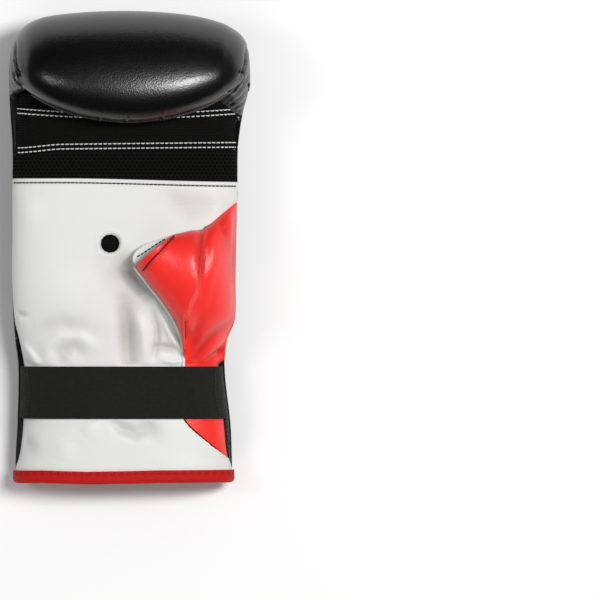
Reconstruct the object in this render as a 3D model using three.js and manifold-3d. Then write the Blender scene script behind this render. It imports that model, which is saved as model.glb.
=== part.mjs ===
// A right-hand bag glove lying on its back with the palm up.
// X points to the thumb side, Y from the cuff's hem to the knuckles, and Z up out of the palm.
// Sizes are in millimetres. The origin is on the floor under the middle of the glove.
// The pieces are leather, mesh and elastic walls round an open hand space, and one thick padded back
// that curls over the fingers and comes back above the palm.

import * as THREE from 'three';
import Module from 'manifold-3d';
import { mergeVertices } from 'three/addons/utils/BufferGeometryUtils.js';

// Whole glove
const GLOVE_LENGTH = 275;
const FIST_WIDTH = 140;
const FIST_HEIGHT = 93;

// Padded back
const CUFF_LENGTH = 85;
const ROLL_REACH = 64.6;
const ROLL_THICKNESS = FIST_HEIGHT * 0.301;
const ROLL_NOSE = 10;
const BACK_THICKNESS = 17;
const TAIL_THICKNESS = 10;
const PAD_SIDE_WALL = 8;
const PAD_RIM = 1.5;
const FLATTENED_BY = 1.2;
const GATHER_DEPTH = 1.3;

// Walls of the cuff, palm and thumb
const CUFF_WALL = 5;
const CUFF_HEM_WALL = 2.6;
const RIM_SHOWING = 3.4;
const PALM_WALL = 2;
const MESH_WALL = 2;
const THUMB_WALL = 1.8;
const FOLD_DEPTH = 3;
const FOLD_FADE = 10;
const SIDE_FADE = 0.12;

// Bands of mesh across the palm
const LOWER_MESH_WIDTH = 17.5;
const GRIP_WIDTH = 20;
const FINGER_MESH_WIDTH = 10.5;
const MESH_SHORT_OF_CURL = 2.5;

// Thumb
const THUMB_HEIGHT = 24;
const THUMB_TIP_HEIGHT = 15;
const THUMB_TIP_LIFT = 6;
const THUMB_LIP = 5.5;
const THUMB_BULGE = 3;
const THUMB_RISE_LENGTH = 30;
const THUMB_LAP_LENGTH = 6;
const THUMB_BULGE_FROM = 8;

// Trim
const STRAP_WIDTH = 30;
const STRAP_FROM_HEM = 38.5;
const STRAP_WALL = 1.6;
const BINDING_DEPTH = 7.5;
const BINDING_WALL = 1;
const VENT_DIAMETER = 10.8;
const VENT_FROM_HEM = 140;
const VENT_OFFSET = -11.3;
const VENT_PATCH_MARGIN = 3;
const VENT_MESH_WALL = 1;

// Clearance between pieces that are sewn together, and the lap of the thumb over its lining
const GAP = 0.35;

const CURL_RADIUS = FIST_HEIGHT / 2;
const CURL_CENTRE = GLOVE_LENGTH - CURL_RADIUS;

// Where the bands meet, measured from the hem
const FINGER_MESH_END = CURL_CENTRE - MESH_SHORT_OF_CURL;
const GRIP_END = FINGER_MESH_END - FINGER_MESH_WIDTH;
const GRIP_START = GRIP_END - GRIP_WIDTH;
const PALM_TOP = GRIP_START - LOWER_MESH_WIDTH;

const HALF_TURN = Math.PI;
const QUARTER_TURN = Math.PI / 2;
const UP = new THREE.Vector3(0, 0, 1);

// The glove's outline, a row for each section across it. at is a share of the length from the hem,
// centre and width are shares of the fist's width, seam and crown are heights as shares of the fist's
// height, square is how boxy the palm's dome is, and rim is the share of the black rim that shows.
const SECTIONS = [
  { at: 0.0, centre: -0.027, width: 0.903, seam: 0.18, crown: 0.42, square: 3.0, rim: 0.0 },
  { at: 0.03, centre: -0.027, width: 0.901, seam: 0.184, crown: 0.425, square: 3.0, rim: 0.0 },
  { at: 0.065, centre: -0.027, width: 0.898, seam: 0.188, crown: 0.43, square: 3.0, rim: 0.7 },
  { at: 0.127, centre: -0.026, width: 0.886, seam: 0.2, crown: 0.44, square: 3.0, rim: 1.0 },
  { at: 0.247, centre: -0.036, width: 0.857, seam: 0.23, crown: 0.44, square: 3.2, rim: 1.0 },
  { at: 0.305, centre: -0.037, width: 0.879, seam: 0.28, crown: 0.465, square: 3.6, rim: 0.7 },
  { at: 0.349, centre: -0.024, width: 0.919, seam: 0.32, crown: 0.495, square: 4.2, rim: 0.2 },
  { at: 0.433, centre: -0.025, width: 0.926, seam: 0.36, crown: 0.53, square: 5.0, rim: 0.0 },
  { at: 0.549, centre: -0.02, width: 0.929, seam: 0.39, crown: 0.55, square: 5.5, rim: 0.0 },
  { at: 0.64, centre: -0.015, width: 0.933, seam: 0.405, crown: 0.55, square: 5.5, rim: 0.0 },
  { at: 0.716, centre: -0.012, width: 0.934, seam: 0.41, crown: 0.575, square: 5.5, rim: 0.5 },
  { at: 0.789, centre: -0.004, width: 0.95, seam: 0.43, crown: 0.65, square: 6.0, rim: 1.2 },
  { at: 0.831, centre: 0.0, width: 0.985, seam: 0.45, crown: 0.685, square: 6.0, rim: 1.7 },
  { at: 0.9, centre: 0.0, width: 1.0, seam: 0.45, crown: 0.69, square: 6.0, rim: 1.7 },
];

// Soft folds in the palm leather. Each runs from one end to the other: across is a share of half the
// fist's width from the middle, along a share of the length from the hem, wide a share of the fist's
// width, and rise a share of the fold's depth, below zero for a valley.
const PALM_FOLDS = [
  { across: -0.09, along: 0.5, toAcross: -0.12, toAlong: 0.27, wide: 0.06, rise: -0.6 },
  { across: 0.11, along: 0.38, toAcross: 0.2, toAlong: 0.27, wide: 0.05, rise: 0.7 },
  { across: 0.3, along: 0.37, toAcross: 0.42, toAlong: 0.29, wide: 0.045, rise: -1.0 },
  { across: -0.55, along: 0.38, toAcross: -0.5, toAlong: 0.27, wide: 0.07, rise: 0.5 },
  { across: -0.9, along: 0.31, toAcross: -0.7, toAlong: 0.255, wide: 0.04, rise: -0.7 },
  { across: 0.02, along: 0.51, toAcross: 0.1, toAlong: 0.44, wide: 0.1, rise: -0.8 },
  { across: -0.3, along: 0.13, toAcross: -0.25, toAlong: 0.08, wide: 0.07, rise: -0.5 },
];

// Gathers that run round the curled sides of the fist: where is the place between the middle of the
// pad and its side rim, as the sine of the lane's angle, and deep is a share of the gather depth.
const GATHERS = [
  { side: -1, where: 0.945, deep: 1.0 },
  { side: -1, where: 0.985, deep: 0.9 },
  { side: 1, where: 0.925, deep: 0.9 },
  { side: 1, where: 0.965, deep: 1.0 },
  { side: 1, where: 0.992, deep: 0.9 },
];

const clamp = (value, low, high) => Math.min(high, Math.max(low, value));
const mix = (from, to, share) => from + (to - from) * share;
const ease = (share) => clamp(share, 0, 1) ** 2 * (3 - 2 * clamp(share, 0, 1));

// A smooth curve through one column of a table, read at a share along it.
function column(table, name, at) {
  const last = table.length - 1;
  const found = table.findIndex((row, i) => i < last && at < table[i + 1].at);
  const i = found < 0 ? last - 1 : found;
  const [from, to] = [table[i], table[i + 1]];
  const span = to.at - from.at;
  const slope = (k) => {
    const [before, after] = [table[Math.max(0, k - 1)], table[Math.min(last, k + 1)]];
    return (after[name] - before[name]) / (after.at - before.at);
  };
  const t = clamp((at - from.at) / span, 0, 1);
  const curve = (2 * t ** 3 - 3 * t ** 2 + 1) * from[name] + (3 * t ** 2 - 2 * t ** 3) * to[name];
  return curve + span * ((t ** 3 - 2 * t ** 2 + t) * slope(i) + (t ** 3 - t ** 2) * slope(i + 1));
}

// The sizes of the section at a distance from the hem.
function sectionAt(y) {
  const at = y / GLOVE_LENGTH;
  const rim = column(SECTIONS, 'rim', at) * RIM_SHOWING;
  const half = (column(SECTIONS, 'width', at) * FIST_WIDTH) / 2;
  return {
    centre: column(SECTIONS, 'centre', at) * FIST_WIDTH,
    half,
    palmHalf: half - rim,
    seam: column(SECTIONS, 'seam', at) * FIST_HEIGHT,
    crown: column(SECTIONS, 'crown', at) * FIST_HEIGHT,
    square: column(SECTIONS, 'square', at),
  };
}

// How far a domed section has dropped at a share of its half width.
const domeDrop = (share, square) => 1 - Math.sqrt(Math.max(0, 1 - Math.abs(share) ** square));

// The rise of the palm's folds at a point.
function foldRise(x, y) {
  const half = FIST_WIDTH / 2;
  let rise = 0;
  for (const fold of PALM_FOLDS) {
    const start = new THREE.Vector2(fold.across * half, fold.along * GLOVE_LENGTH);
    const end = new THREE.Vector2(fold.toAcross * half, fold.toAlong * GLOVE_LENGTH);
    const way = end.clone().sub(start);
    const from = new THREE.Vector2(x, y).sub(start);
    const along = clamp(from.dot(way) / way.lengthSq(), 0, 1);
    const off = from.sub(way.multiplyScalar(along)).length() / (fold.wide * FIST_WIDTH);
    rise += fold.rise * FOLD_DEPTH * Math.exp(-off * off);
  }
  return rise;
}

// The smooth dome of the palm side over a point.
function domeHeight(x, y) {
  const section = sectionAt(y);
  const share = clamp((x - section.centre) / section.palmHalf, -1, 1);
  return mix(section.crown, section.seam + GAP, domeDrop(share, section.square));
}

// The palm side's outer surface, with its folds fading out under the strap, at the sides and at the bands.
function palmHeight(x, y) {
  const section = sectionAt(y);
  const strapTop = STRAP_FROM_HEM + STRAP_WIDTH;
  const clearOfStrap = ease((y - strapTop) / FOLD_FADE) + ease((STRAP_FROM_HEM - y) / FOLD_FADE);
  const clearOfSide = ease((1 - Math.abs(x - section.centre) / section.palmHalf) / SIDE_FADE);
  const clearOfBands = ease((PALM_TOP - y) / FOLD_FADE) * ease((y - BINDING_DEPTH) / FOLD_FADE);
  return domeHeight(x, y) + foldRise(x, y) * clearOfStrap * clearOfSide * clearOfBands;
}

// A piece of the palm side's surface in lanes across it, between two shares of its half width.
function palmPoint(y, across) {
  const section = sectionAt(y);
  const x = section.centre + section.palmHalf * Math.sin(across * QUARTER_TURN);
  return new THREE.Vector3(x, y, palmHeight(x, y));
}

// The lane of the palm that passes through x at a distance from the hem.
function laneThrough(x, y) {
  const section = sectionAt(y);
  return Math.asin(clamp((x - section.centre) / section.palmHalf, -1, 1)) / QUARTER_TURN;
}

// Points on a surface, as rows along and columns across.
function grid(rows, columns, point) {
  const make = (i, j) => point(i / rows, j / columns);
  return Array.from({ length: rows + 1 }, (_, i) => Array.from({ length: columns + 1 }, (__, j) => make(i, j)));
}

// The same points moved inwards along the surface's own normal, or, where the piece's ends are cut
// square to the glove, along the part of it that lies in each section.
function inwards(points, distance, square = false) {
  const last = points.length - 1;
  const end = points[0].length - 1;
  return points.map((row, i) =>
    row.map((point, j) => {
      const along = points[Math.min(last, i + 1)][j].clone().sub(points[Math.max(0, i - 1)][j]);
      const across = row[Math.min(end, j + 1)].clone().sub(row[Math.max(0, j - 1)]);
      const normal = across.cross(along);
      if (square) normal.y = 0;
      normal.normalize();
      const deep = typeof distance === 'function' ? distance(i / last, j / end) : distance;
      return point.clone().addScaledVector(normal, -deep);
    }),
  );
}

// A closed body between an outer and an inner grid of points. Rows run along +Y and columns along +X
// where the outer face looks up, so that every face points out.
function bodyBetween(outer, inner) {
  const rows = outer.length;
  const columns = outer[0].length;
  const positions = [...outer.flat(), ...inner.flat()].flatMap((p) => [p.x, p.y, p.z]);
  const at = (side, i, j) => side * rows * columns + i * columns + j;
  const index = [];
  const quad = (a, b, c, d) => index.push(a, b, c, a, c, d);
  for (let i = 0; i < rows - 1; i += 1) {
    for (let j = 0; j < columns - 1; j += 1) {
      quad(at(0, i, j), at(0, i, j + 1), at(0, i + 1, j + 1), at(0, i + 1, j));
      quad(at(1, i, j), at(1, i + 1, j), at(1, i + 1, j + 1), at(1, i, j + 1));
    }
    quad(at(0, i, 0), at(0, i + 1, 0), at(1, i + 1, 0), at(1, i, 0));
    quad(at(0, i, columns - 1), at(1, i, columns - 1), at(1, i + 1, columns - 1), at(0, i + 1, columns - 1));
  }
  for (let j = 0; j < columns - 1; j += 1) {
    quad(at(0, 0, j), at(1, 0, j), at(1, 0, j + 1), at(0, 0, j + 1));
    quad(at(0, rows - 1, j), at(0, rows - 1, j + 1), at(1, rows - 1, j + 1), at(1, rows - 1, j));
  }
  return geometryFrom(positions, index);
}

function geometryFrom(positions, index) {
  const geometry = new THREE.BufferGeometry();
  geometry.setAttribute('position', new THREE.Float32BufferAttribute(positions, 3));
  geometry.setIndex(index);
  return geometry;
}

// The inner grid with its side rims kept level with the outer ones, so that they rest flat on a seam.
// level says, for a row, whether its first and its last rim are on a seam.
function levelRims(inner, outer, level) {
  inner.forEach((row, i) => {
    const ends = [0, row.length - 1].filter((_, k) => level(i, k));
    for (const end of ends) row[end].z = outer[i][end].z;
  });
  return inner;
}

// A wall that lies under a surface from side to side of the glove, with ends cut square to the glove.
function squareWall(points, thickness, level = () => true) {
  return bodyBetween(points, levelRims(inwards(points, thickness, true), points, level));
}

// How far back over the palm the roll's end comes, at a share of the fist's half width.
const ROLL_CORNER_RISE = FIST_HEIGHT * 0.286;

function rollEnd(share) {
  return GLOVE_LENGTH - ROLL_REACH + ROLL_CORNER_RISE * Math.abs(share * 1.03) ** 2.1;
}

// The way one lane of leather takes round the curl and back over the palm to its nose, as a distance
// from the curl's centre and the bend and straight that it runs through. In the corners the lane
// stops before it has turned right over.
function curlWay(sine, radius) {
  const thick = Math.max(2, ROLL_THICKNESS * (1 - domeDrop(sine, 4)));
  const noseStart = rollEnd(sine) + Math.min(thick / 2, ROLL_NOSE);
  const past = clamp((noseStart - CURL_CENTRE) / radius, 0, 0.9);
  return { radius, thick, bend: HALF_TURN - Math.asin(past), straight: Math.max(0, CURL_CENTRE - noseStart) };
}

// The place at a share along that way, with the direction there that points away from the hand.
function alongWay(way, share, shortBy = 0) {
  const arc = way.bend * way.radius;
  const distance = share * (arc + way.straight - shortBy);
  const angle = Math.min(distance / way.radius, way.bend);
  const straight = Math.max(0, distance - arc);
  const out = new THREE.Vector3(0, Math.sin(angle), -Math.cos(angle));
  const place = new THREE.Vector3(0, CURL_CENTRE - straight, CURL_RADIUS).addScaledVector(out, way.radius);
  return { place, out, turned: angle / HALF_TURN };
}

// The half width of the curled pad where it has turned by a share of half a turn.
function curlHalf(turned, from) {
  return mix(from, FIST_WIDTH / 2, ease(turned * 3)) - 0.04 * (FIST_WIDTH / 2) * ease(turned * 2 - 1);
}

// Extra drop of the pad's leather in the gathers at one lane.
function gatherDrop(lane, amount) {
  const side = Math.sign(lane);
  const where = Math.abs(Math.sin(lane * QUARTER_TURN));
  let drop = 0;
  for (const gather of GATHERS.filter((row) => row.side === side)) {
    const off = (Math.acos(where) - Math.acos(gather.where)) / 0.05;
    drop += gather.deep * GATHER_DEPTH * Math.exp(-off * off);
  }
  return drop * amount;
}

// The padded back runs from its tail at the cuff along the floor, round the knuckles and back over the
// palm to a round nose. A station is a place along that way, and a lane is a place across it.
const CURL_STEPS = 16;
const PAD_STATIONS = [
  ...[0, 0.3, 1].map((share) => ({ part: 'tail', share })),
  ...[0.12, 0.26, 0.4, 0.54, 0.68, 0.82, 0.93].map((share) => ({ part: 'back', share })),
  ...Array.from({ length: CURL_STEPS + 1 }, (_, i) => ({ part: 'curl', share: i / CURL_STEPS })),
  ...[0.2, 0.4, 0.6, 0.8, 1].map((share) => ({ part: 'nose', share })),
];

const PAD_START = CUFF_LENGTH + GAP;
const TAIL_ROUND = TAIL_THICKNESS * 0.7;

// Distance from the hem of a station on the floor.
function floorPlace(station) {
  if (station.part === 'tail') return PAD_START + TAIL_ROUND * station.share;
  return mix(PAD_START + TAIL_ROUND, CURL_CENTRE, station.share);
}

// The pad's outer leather.
function padOuter(station, lane) {
  const sine = Math.sin(lane * QUARTER_TURN);
  const seam = sectionAt(CURL_CENTRE).seam;
  if (station.part === 'tail' || station.part === 'back') {
    const y = floorPlace(station);
    const section = sectionAt(y);
    const square = mix(3, 4.2, ease((y - PAD_START) / (CURL_CENTRE - PAD_START)));
    const sink = FLATTENED_BY * ease((CURL_CENTRE - y) / CURL_RADIUS);
    const rounding = station.part === 'tail' ? TAIL_ROUND * domeDrop(1 - station.share, 2) : 0;
    const floor = section.seam * domeDrop(sine, square);
    const height = Math.max(0, floor - sink * (1 - Math.abs(sine) ** 8)) + rounding * (1 - floor / section.seam);
    return new THREE.Vector3(section.centre + section.half * sine, y, height);
  }
  const gathered = station.part === 'curl' ? ease(station.share * 3) : 1 - 0.6 * station.share;
  const depth = seam * domeDrop(sine, 4.2) + gatherDrop(lane, gathered * (1 - Math.abs(sine) ** 60));
  const way = curlWay(sine, CURL_RADIUS - depth);
  const { place, out, turned } = alongWay(way, station.part === 'curl' ? station.share : 1);
  place.x = curlHalf(turned, sectionAt(CURL_CENTRE).half) * sine;
  if (station.part === 'curl') return place;
  const angle = station.share * HALF_TURN;
  const onward = new THREE.Vector3(0, out.z, -out.y).multiplyScalar(-Math.min(way.thick / 2, ROLL_NOSE));
  place.addScaledVector(out, (-way.thick / 2) * (1 - Math.cos(angle)));
  return place.addScaledVector(onward, Math.sin(angle));
}

// The pad's lining, which faces the hand.
function padInner(station, lane) {
  const sine = Math.sin(lane * QUARTER_TURN);
  const seam = sectionAt(CURL_CENTRE).seam;
  if (station.part === 'tail' || station.part === 'back') {
    const y = floorPlace(station);
    const section = sectionAt(y);
    const thick = mix(TAIL_THICKNESS, BACK_THICKNESS, ease((y - PAD_START) / CUFF_LENGTH));
    const height = mix(thick, section.seam, domeDrop(sine, 4));
    return new THREE.Vector3(section.centre + (section.half - PAD_SIDE_WALL) * sine, y, height);
  }
  const passed = station.part === 'curl' ? station.share * 0.96 : 0.96 + station.share * 0.04;
  const thick = mix(BACK_THICKNESS, ROLL_THICKNESS, ease(passed * 2));
  const depth = mix(thick, seam, domeDrop(sine, 4));
  const way = { ...curlWay(sine, CURL_RADIUS - seam * domeDrop(sine, 4.2)), radius: CURL_RADIUS - depth };
  const { place, turned } = alongWay(way, passed, PAD_RIM);
  place.x = (curlHalf(turned, sectionAt(CURL_CENTRE).half) - PAD_SIDE_WALL) * sine;
  return place;
}

// Lanes across the pad, closer together on the curled sides where the gathers are.
const PAD_LANES = 28;
function padLane(share) {
  const side = share * 2 - 1;
  return Math.sign(side) * (1 - (1 - Math.abs(side)) ** 1.35);
}

function backPad() {
  const rows = PAD_STATIONS.length - 1;
  const build = (surface) => grid(rows, PAD_LANES, (i, j) => surface(PAD_STATIONS[Math.round(i * rows)], padLane(j)));
  // On the floor the outer leather looks down, so the lanes run the other way round.
  const turned = (points) => points.map((row) => [...row].reverse());
  return bodyBetween(turned(build(padOuter)), turned(build(padInner)));
}

// The cuff's back: a lightly padded half shell from the binding to the pad's tail.
const BINDING_OUT = BINDING_WALL + GAP;

function cuffBackPoint(y, lane) {
  const section = sectionAt(y);
  const sine = Math.sin(lane * QUARTER_TURN);
  const height = mix(BINDING_OUT, section.seam, domeDrop(sine, 3));
  return new THREE.Vector3(section.centre + section.half * sine, y, height);
}

function cuffBack() {
  const bound = 1 / 12;
  const place = (i) => {
    if (i <= bound) return mix(BINDING_WALL + GAP, BINDING_DEPTH + 2 * GAP, i / bound);
    return mix(BINDING_DEPTH + 2 * GAP, CUFF_LENGTH, (i - bound) / (1 - bound));
  };
  const points = grid(12, 24, (i, j) => cuffBackPoint(place(i), 1 - 2 * j));
  const thickness = (i) => mix(CUFF_HEM_WALL, CUFF_WALL, ease((i - bound) * 4));
  return squareWall(points, thickness);
}

// The side edge of the palm as a point in plan, at a distance from the hem.
function sidePlan(y) {
  const section = sectionAt(y);
  return new THREE.Vector2(section.centre + section.palmHalf, y);
}

const sideAt = (along) => sidePlan(along * GLOVE_LENGTH).x / (FIST_WIDTH / 2);

// Places on the thumb's seams. across is from the middle as a share of half the fist's width, and along
// a share of the length from the hem. The first rows lie on the glove's side, the last at the open tip.
const THUMB_TOP_EDGE = [
  { at: 0.0, across: sideAt(0.598), along: 0.598 },
  { at: 0.21, across: 0.756, along: 0.57 },
  { at: 0.42, across: 0.62, along: 0.541 },
  { at: 0.7, across: 0.5, along: 0.536 },
  { at: 1.0, across: 0.364, along: 0.528 },
];
const THUMB_LOW_EDGE = [
  { at: 0.0, across: sideAt(0.056), along: 0.056 },
  { at: 0.12, across: 0.576, along: 0.107 },
  { at: 0.18, across: 0.474, along: 0.132 },
  { at: 0.21, across: 0.444, along: 0.148 },
  { at: 0.3, across: 0.443, along: 0.198 },
  { at: 0.42, across: 0.455, along: 0.268 },
  { at: 0.55, across: 0.425, along: 0.32 },
  { at: 0.7, across: 0.322, along: 0.371 },
  { at: 0.85, across: 0.175, along: 0.42 },
  { at: 1.0, across: 0.049, along: 0.461 },
];
const THUMB_CROTCH = 0.42;

function edgePoint(table, at) {
  const x = (column(table, 'across', at) * FIST_WIDTH) / 2;
  return new THREE.Vector2(x, column(table, 'along', at) * GLOVE_LENGTH);
}

// A place on the thumb in plan: out runs from the glove's side to the tip, and down from the seam near
// the fingers to the seam near the cuff.
function thumbPlan(out, down) {
  const top = edgePoint(THUMB_TOP_EDGE, out);
  const low = edgePoint(THUMB_LOW_EDGE, out);
  const tip = edgePoint(THUMB_TOP_EDGE, 1).lerp(edgePoint(THUMB_LOW_EDGE, 1), down);
  const topStart = edgePoint(THUMB_TOP_EDGE, 0);
  const lowStart = edgePoint(THUMB_LOW_EDGE, 0);
  const side = sidePlan(mix(topStart.y, lowStart.y, down));
  const share = clamp(out, 0, 1);
  const ruled = top.clone().lerp(low, down);
  const corners = topStart.lerp(lowStart, down).multiplyScalar(1 - share);
  corners.addScaledVector(edgePoint(THUMB_TOP_EDGE, 1).lerp(edgePoint(THUMB_LOW_EDGE, 1), down), share);
  const between = side.multiplyScalar(1 - share).addScaledVector(tip, share);
  return ruled.add(between).sub(corners);
}

// How far the thumb's two layers stand off the palm.
function thumbLift(out) {
  return THUMB_TIP_LIFT * ease((out - THUMB_CROTCH) / (1 - THUMB_CROTCH));
}

// The share of the way down the thumb where the leather goes flat to pass under the strap.
const ABOVE_STRAP = STRAP_FROM_HEM + STRAP_WIDTH + 2;
const NEAREST_TO_SEAM = 0.95;

function flatBelow(out) {
  const top = thumbPlan(out, 0).y;
  const low = thumbPlan(out, 1).y;
  return Math.min((top - ABOVE_STRAP) / (top - low), NEAREST_TO_SEAM);
}

// How far a place in plan is from one of the thumb's seams.
const SEAM_STEPS = 40;
function fromSeam(table, plan) {
  const seam = Array.from({ length: SEAM_STEPS + 1 }, (_, i) => edgePoint(table, i / SEAM_STEPS));
  const distances = seam.slice(1).map((end, i) => {
    const way = end.clone().sub(seam[i]);
    const from = plan.clone().sub(seam[i]);
    return from.sub(way.multiplyScalar(clamp(from.dot(way) / way.lengthSq(), 0, 1))).length();
  });
  return Math.min(...distances);
}

// The arch of the thumb's red leather. It springs from both seams and rises gently out of the strap.
function thumbArch(out, plan) {
  const low = fromSeam(THUMB_LOW_EDGE, plan);
  const across = low / (low + fromSeam(THUMB_TOP_EDGE, plan));
  const rise = Math.sin(clamp(out / THUMB_CROTCH, 0, 1) * QUARTER_TURN) ** 0.8;
  const height = mix(THUMB_HEIGHT * rise, THUMB_TIP_HEIGHT, ease((out - THUMB_CROTCH) / (1 - THUMB_CROTCH)));
  const clearOfStrap = Math.sin(clamp((plan.y - ABOVE_STRAP) / THUMB_RISE_LENGTH, 0, 1) * QUARTER_TURN);
  return height * Math.sqrt(4 * across * (1 - across)) * clearOfStrap;
}

// The red leather over the thumb. Its edges lie flat, on the palm's level beside the glove and on the
// lining past the crotch.
function thumbPoint(out, down) {
  const plan = thumbPlan(out, down);
  const arch = thumbArch(out, plan);
  const lap = ease((out - THUMB_CROTCH + 0.08) / 0.08) * ease((plan.y - ABOVE_STRAP - 1) / THUMB_LAP_LENGTH);
  const overLining = (3 * GAP + 2 * THUMB_WALL) * lap;
  const bulge = THUMB_BULGE * Math.sin(clamp(out / 0.3, 0, 1) * HALF_TURN) * ease(arch / THUMB_BULGE_FROM);
  const height = domeHeight(plan.x, plan.y) + overLining + thumbLift(out) + arch;
  return { point: new THREE.Vector3(plan.x + bulge, plan.y, height), steep: ease(arch / THUMB_LAP_LENGTH) };
}

// The same place on the leather's inner face. The leather is cut upright where it lies flat.
function thumbUnder(out, down) {
  const step = 0.002;
  const at = (a, b) => thumbPoint(clamp(a, 0, 1), clamp(b, 0, 1)).point;
  const across = at(out - step, down).sub(at(out + step, down));
  const along = at(out, down - step).sub(at(out, down + step));
  const { point, steep } = thumbPoint(out, down);
  const normal = across.cross(along).normalize().lerp(UP, 1 - steep).normalize();
  return point.addScaledVector(normal, -THUMB_WALL);
}

// Both faces in rows, which are closest where the leather springs up from its seams.
function thumbOuter() {
  const [rows, flatRows, columns, crotchColumn] = [18, 6, 20, 0.55];
  const build = (surface) => grid(rows, columns, (i, j) => {
    const sleeve = mix(1, THUMB_CROTCH, j / crotchColumn);
    const out = j <= crotchColumn ? sleeve : mix(THUMB_CROTCH, 0.004, (j - crotchColumn) / (1 - crotchColumn));
    const flat = flatBelow(out);
    const row = Math.round(i * rows);
    const risen = (row - flatRows) / (rows - flatRows);
    const down = row < flatRows ? mix(1, flat, row / flatRows) : (flat * (1 + Math.cos(risen * HALF_TURN))) / 2;
    return surface(out, down);
  });
  return bodyBetween(build((out, down) => thumbPoint(out, down).point), build(thumbUnder));
}

// The white leather under the thumb, with a lip that shows past the open tip.
function thumbInner() {
  const start = THUMB_CROTCH + 0.09;
  const lipShare = THUMB_LIP / (FIST_WIDTH * 0.3);
  const points = grid(8, 8, (i, j) => {
    const down = mix(0.97, 0.03, i);
    const out = mix(1 + lipShare * Math.sin(down * HALF_TURN) ** 0.5, start, j);
    const tip = thumbPlan(1, down);
    const before = thumbPlan(0.96, down);
    const plan = out > 1 ? tip.add(tip.clone().sub(before).multiplyScalar((out - 1) / 0.04)) : thumbPlan(out, down);
    const height = domeHeight(plan.x, plan.y) + GAP + THUMB_WALL + thumbLift(Math.min(out, 1));
    return new THREE.Vector3(plan.x, plan.y, height);
  });
  return bodyBetween(points, inwards(points, THUMB_WALL));
}

// Where the palm's edge beside one of the thumb's seams crosses a distance from the hem. turn is 1 for
// the seam near the fingers and -1 for the seam near the cuff. The clearance doubles at the crotch,
// where the thumb's leather springs up.
function besideSeam(table, y, turn) {
  const step = 0.005;
  for (let out = THUMB_CROTCH; out > step / 2; out -= step) {
    const seam = edgePoint(table, out);
    const way = edgePoint(table, out - step).sub(seam).normalize();
    const clearance = 2 * GAP * (1 + ease((out - THUMB_CROTCH + 0.12) / 0.08));
    seam.add(new THREE.Vector2(-way.y, way.x).multiplyScalar(clearance * turn));
    if ((y - seam.y) * turn <= 0) return seam.x;
  }
  return Infinity;
}

// The palm's edge on the thumb side: the glove's side, then the thumb's seams and the crotch between.
function palmEdge(y) {
  const crotchTop = edgePoint(THUMB_TOP_EDGE, THUMB_CROTCH);
  const crotchLow = edgePoint(THUMB_LOW_EDGE, THUMB_CROTCH);
  const side = sidePlan(y).x;
  if (y > crotchTop.y) return Math.min(side, besideSeam(THUMB_TOP_EDGE, y, 1));
  if (y < crotchLow.y) return Math.min(side, besideSeam(THUMB_LOW_EDGE, y, -1));
  return mix(crotchLow.x, crotchTop.x, (y - crotchLow.y) / (crotchTop.y - crotchLow.y)) - 4 * GAP;
}

async function solidKit() {
  const kit = await Module();
  kit.setup();
  return kit;
}

function toSolid(kit, geometry) {
  const bare = geometry.index ? geometry.clone() : geometry;
  bare.deleteAttribute('normal');
  bare.deleteAttribute('uv');
  const merged = mergeVertices(bare, 1e-4);
  const vertProperties = Float32Array.from(merged.attributes.position.array);
  const triVerts = Uint32Array.from(merged.index.array);
  return new kit.Manifold(new kit.Mesh({ numProp: 3, vertProperties, triVerts }));
}

function fromSolid(solid) {
  const mesh = solid.getMesh();
  return geometryFrom(Array.from(mesh.vertProperties), Array.from(mesh.triVerts));
}

// The white palm, with the round vent cut through it.
function palmPanel(kit) {
  const start = BINDING_WALL + GAP;
  const place = (i) => mix(start, PALM_TOP, i);
  const rows = 34;
  const points = grid(rows, 16, (i, j) => palmPoint(place(i), mix(-1, laneThrough(palmEdge(place(i)), place(i)), j)));
  const onSide = (i, k) => k === 0 || palmEdge(place(i / rows)) > sidePlan(place(i / rows)).x - 0.01;
  const drill = new THREE.CylinderGeometry(VENT_DIAMETER / 2, VENT_DIAMETER / 2, FIST_HEIGHT, 24);
  drill.rotateX(QUARTER_TURN);
  drill.translate(VENT_OFFSET, VENT_FROM_HEM, FIST_HEIGHT / 2);
  return fromSolid(toSolid(kit, squareWall(points, PALM_WALL, onSide)).subtract(toSolid(kit, drill)));
}

// The square of black mesh sewn behind the vent.
function ventMesh() {
  const reach = VENT_DIAMETER / 2 + VENT_PATCH_MARGIN;
  const points = grid(4, 4, (i, j) => {
    const x = VENT_OFFSET + mix(-reach, reach, j);
    const y = VENT_FROM_HEM + mix(-reach, reach, i);
    return new THREE.Vector3(x, y, palmHeight(x, y) - PALM_WALL - 2 * GAP);
  });
  return bodyBetween(points, inwards(points, VENT_MESH_WALL));
}

// A band of mesh across the whole palm side.
function meshBand(start, end, rows) {
  const points = grid(rows, 20, (i, j) => palmPoint(mix(start + GAP / 2, end - GAP / 2, i), mix(-1, 1, j)));
  return squareWall(points, MESH_WALL);
}

// The elastic strap, drawn flat over the palm and the thumb's leather from rim to rim.
function wristStrap() {
  const points = grid(3, 24, (i, j) => {
    const y = STRAP_FROM_HEM + STRAP_WIDTH * i;
    const section = sectionAt(y);
    const sine = Math.sin(mix(-1, 1, j) * QUARTER_TURN);
    const away = 2 * GAP + STRAP_WALL;
    const base = section.seam + GAP;
    const height = mix(section.crown + away, base, domeDrop(sine, section.square));
    return new THREE.Vector3(section.centre + (section.palmHalf + away) * sine, y, height);
  });
  return squareWall(points, STRAP_WALL);
}

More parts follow.
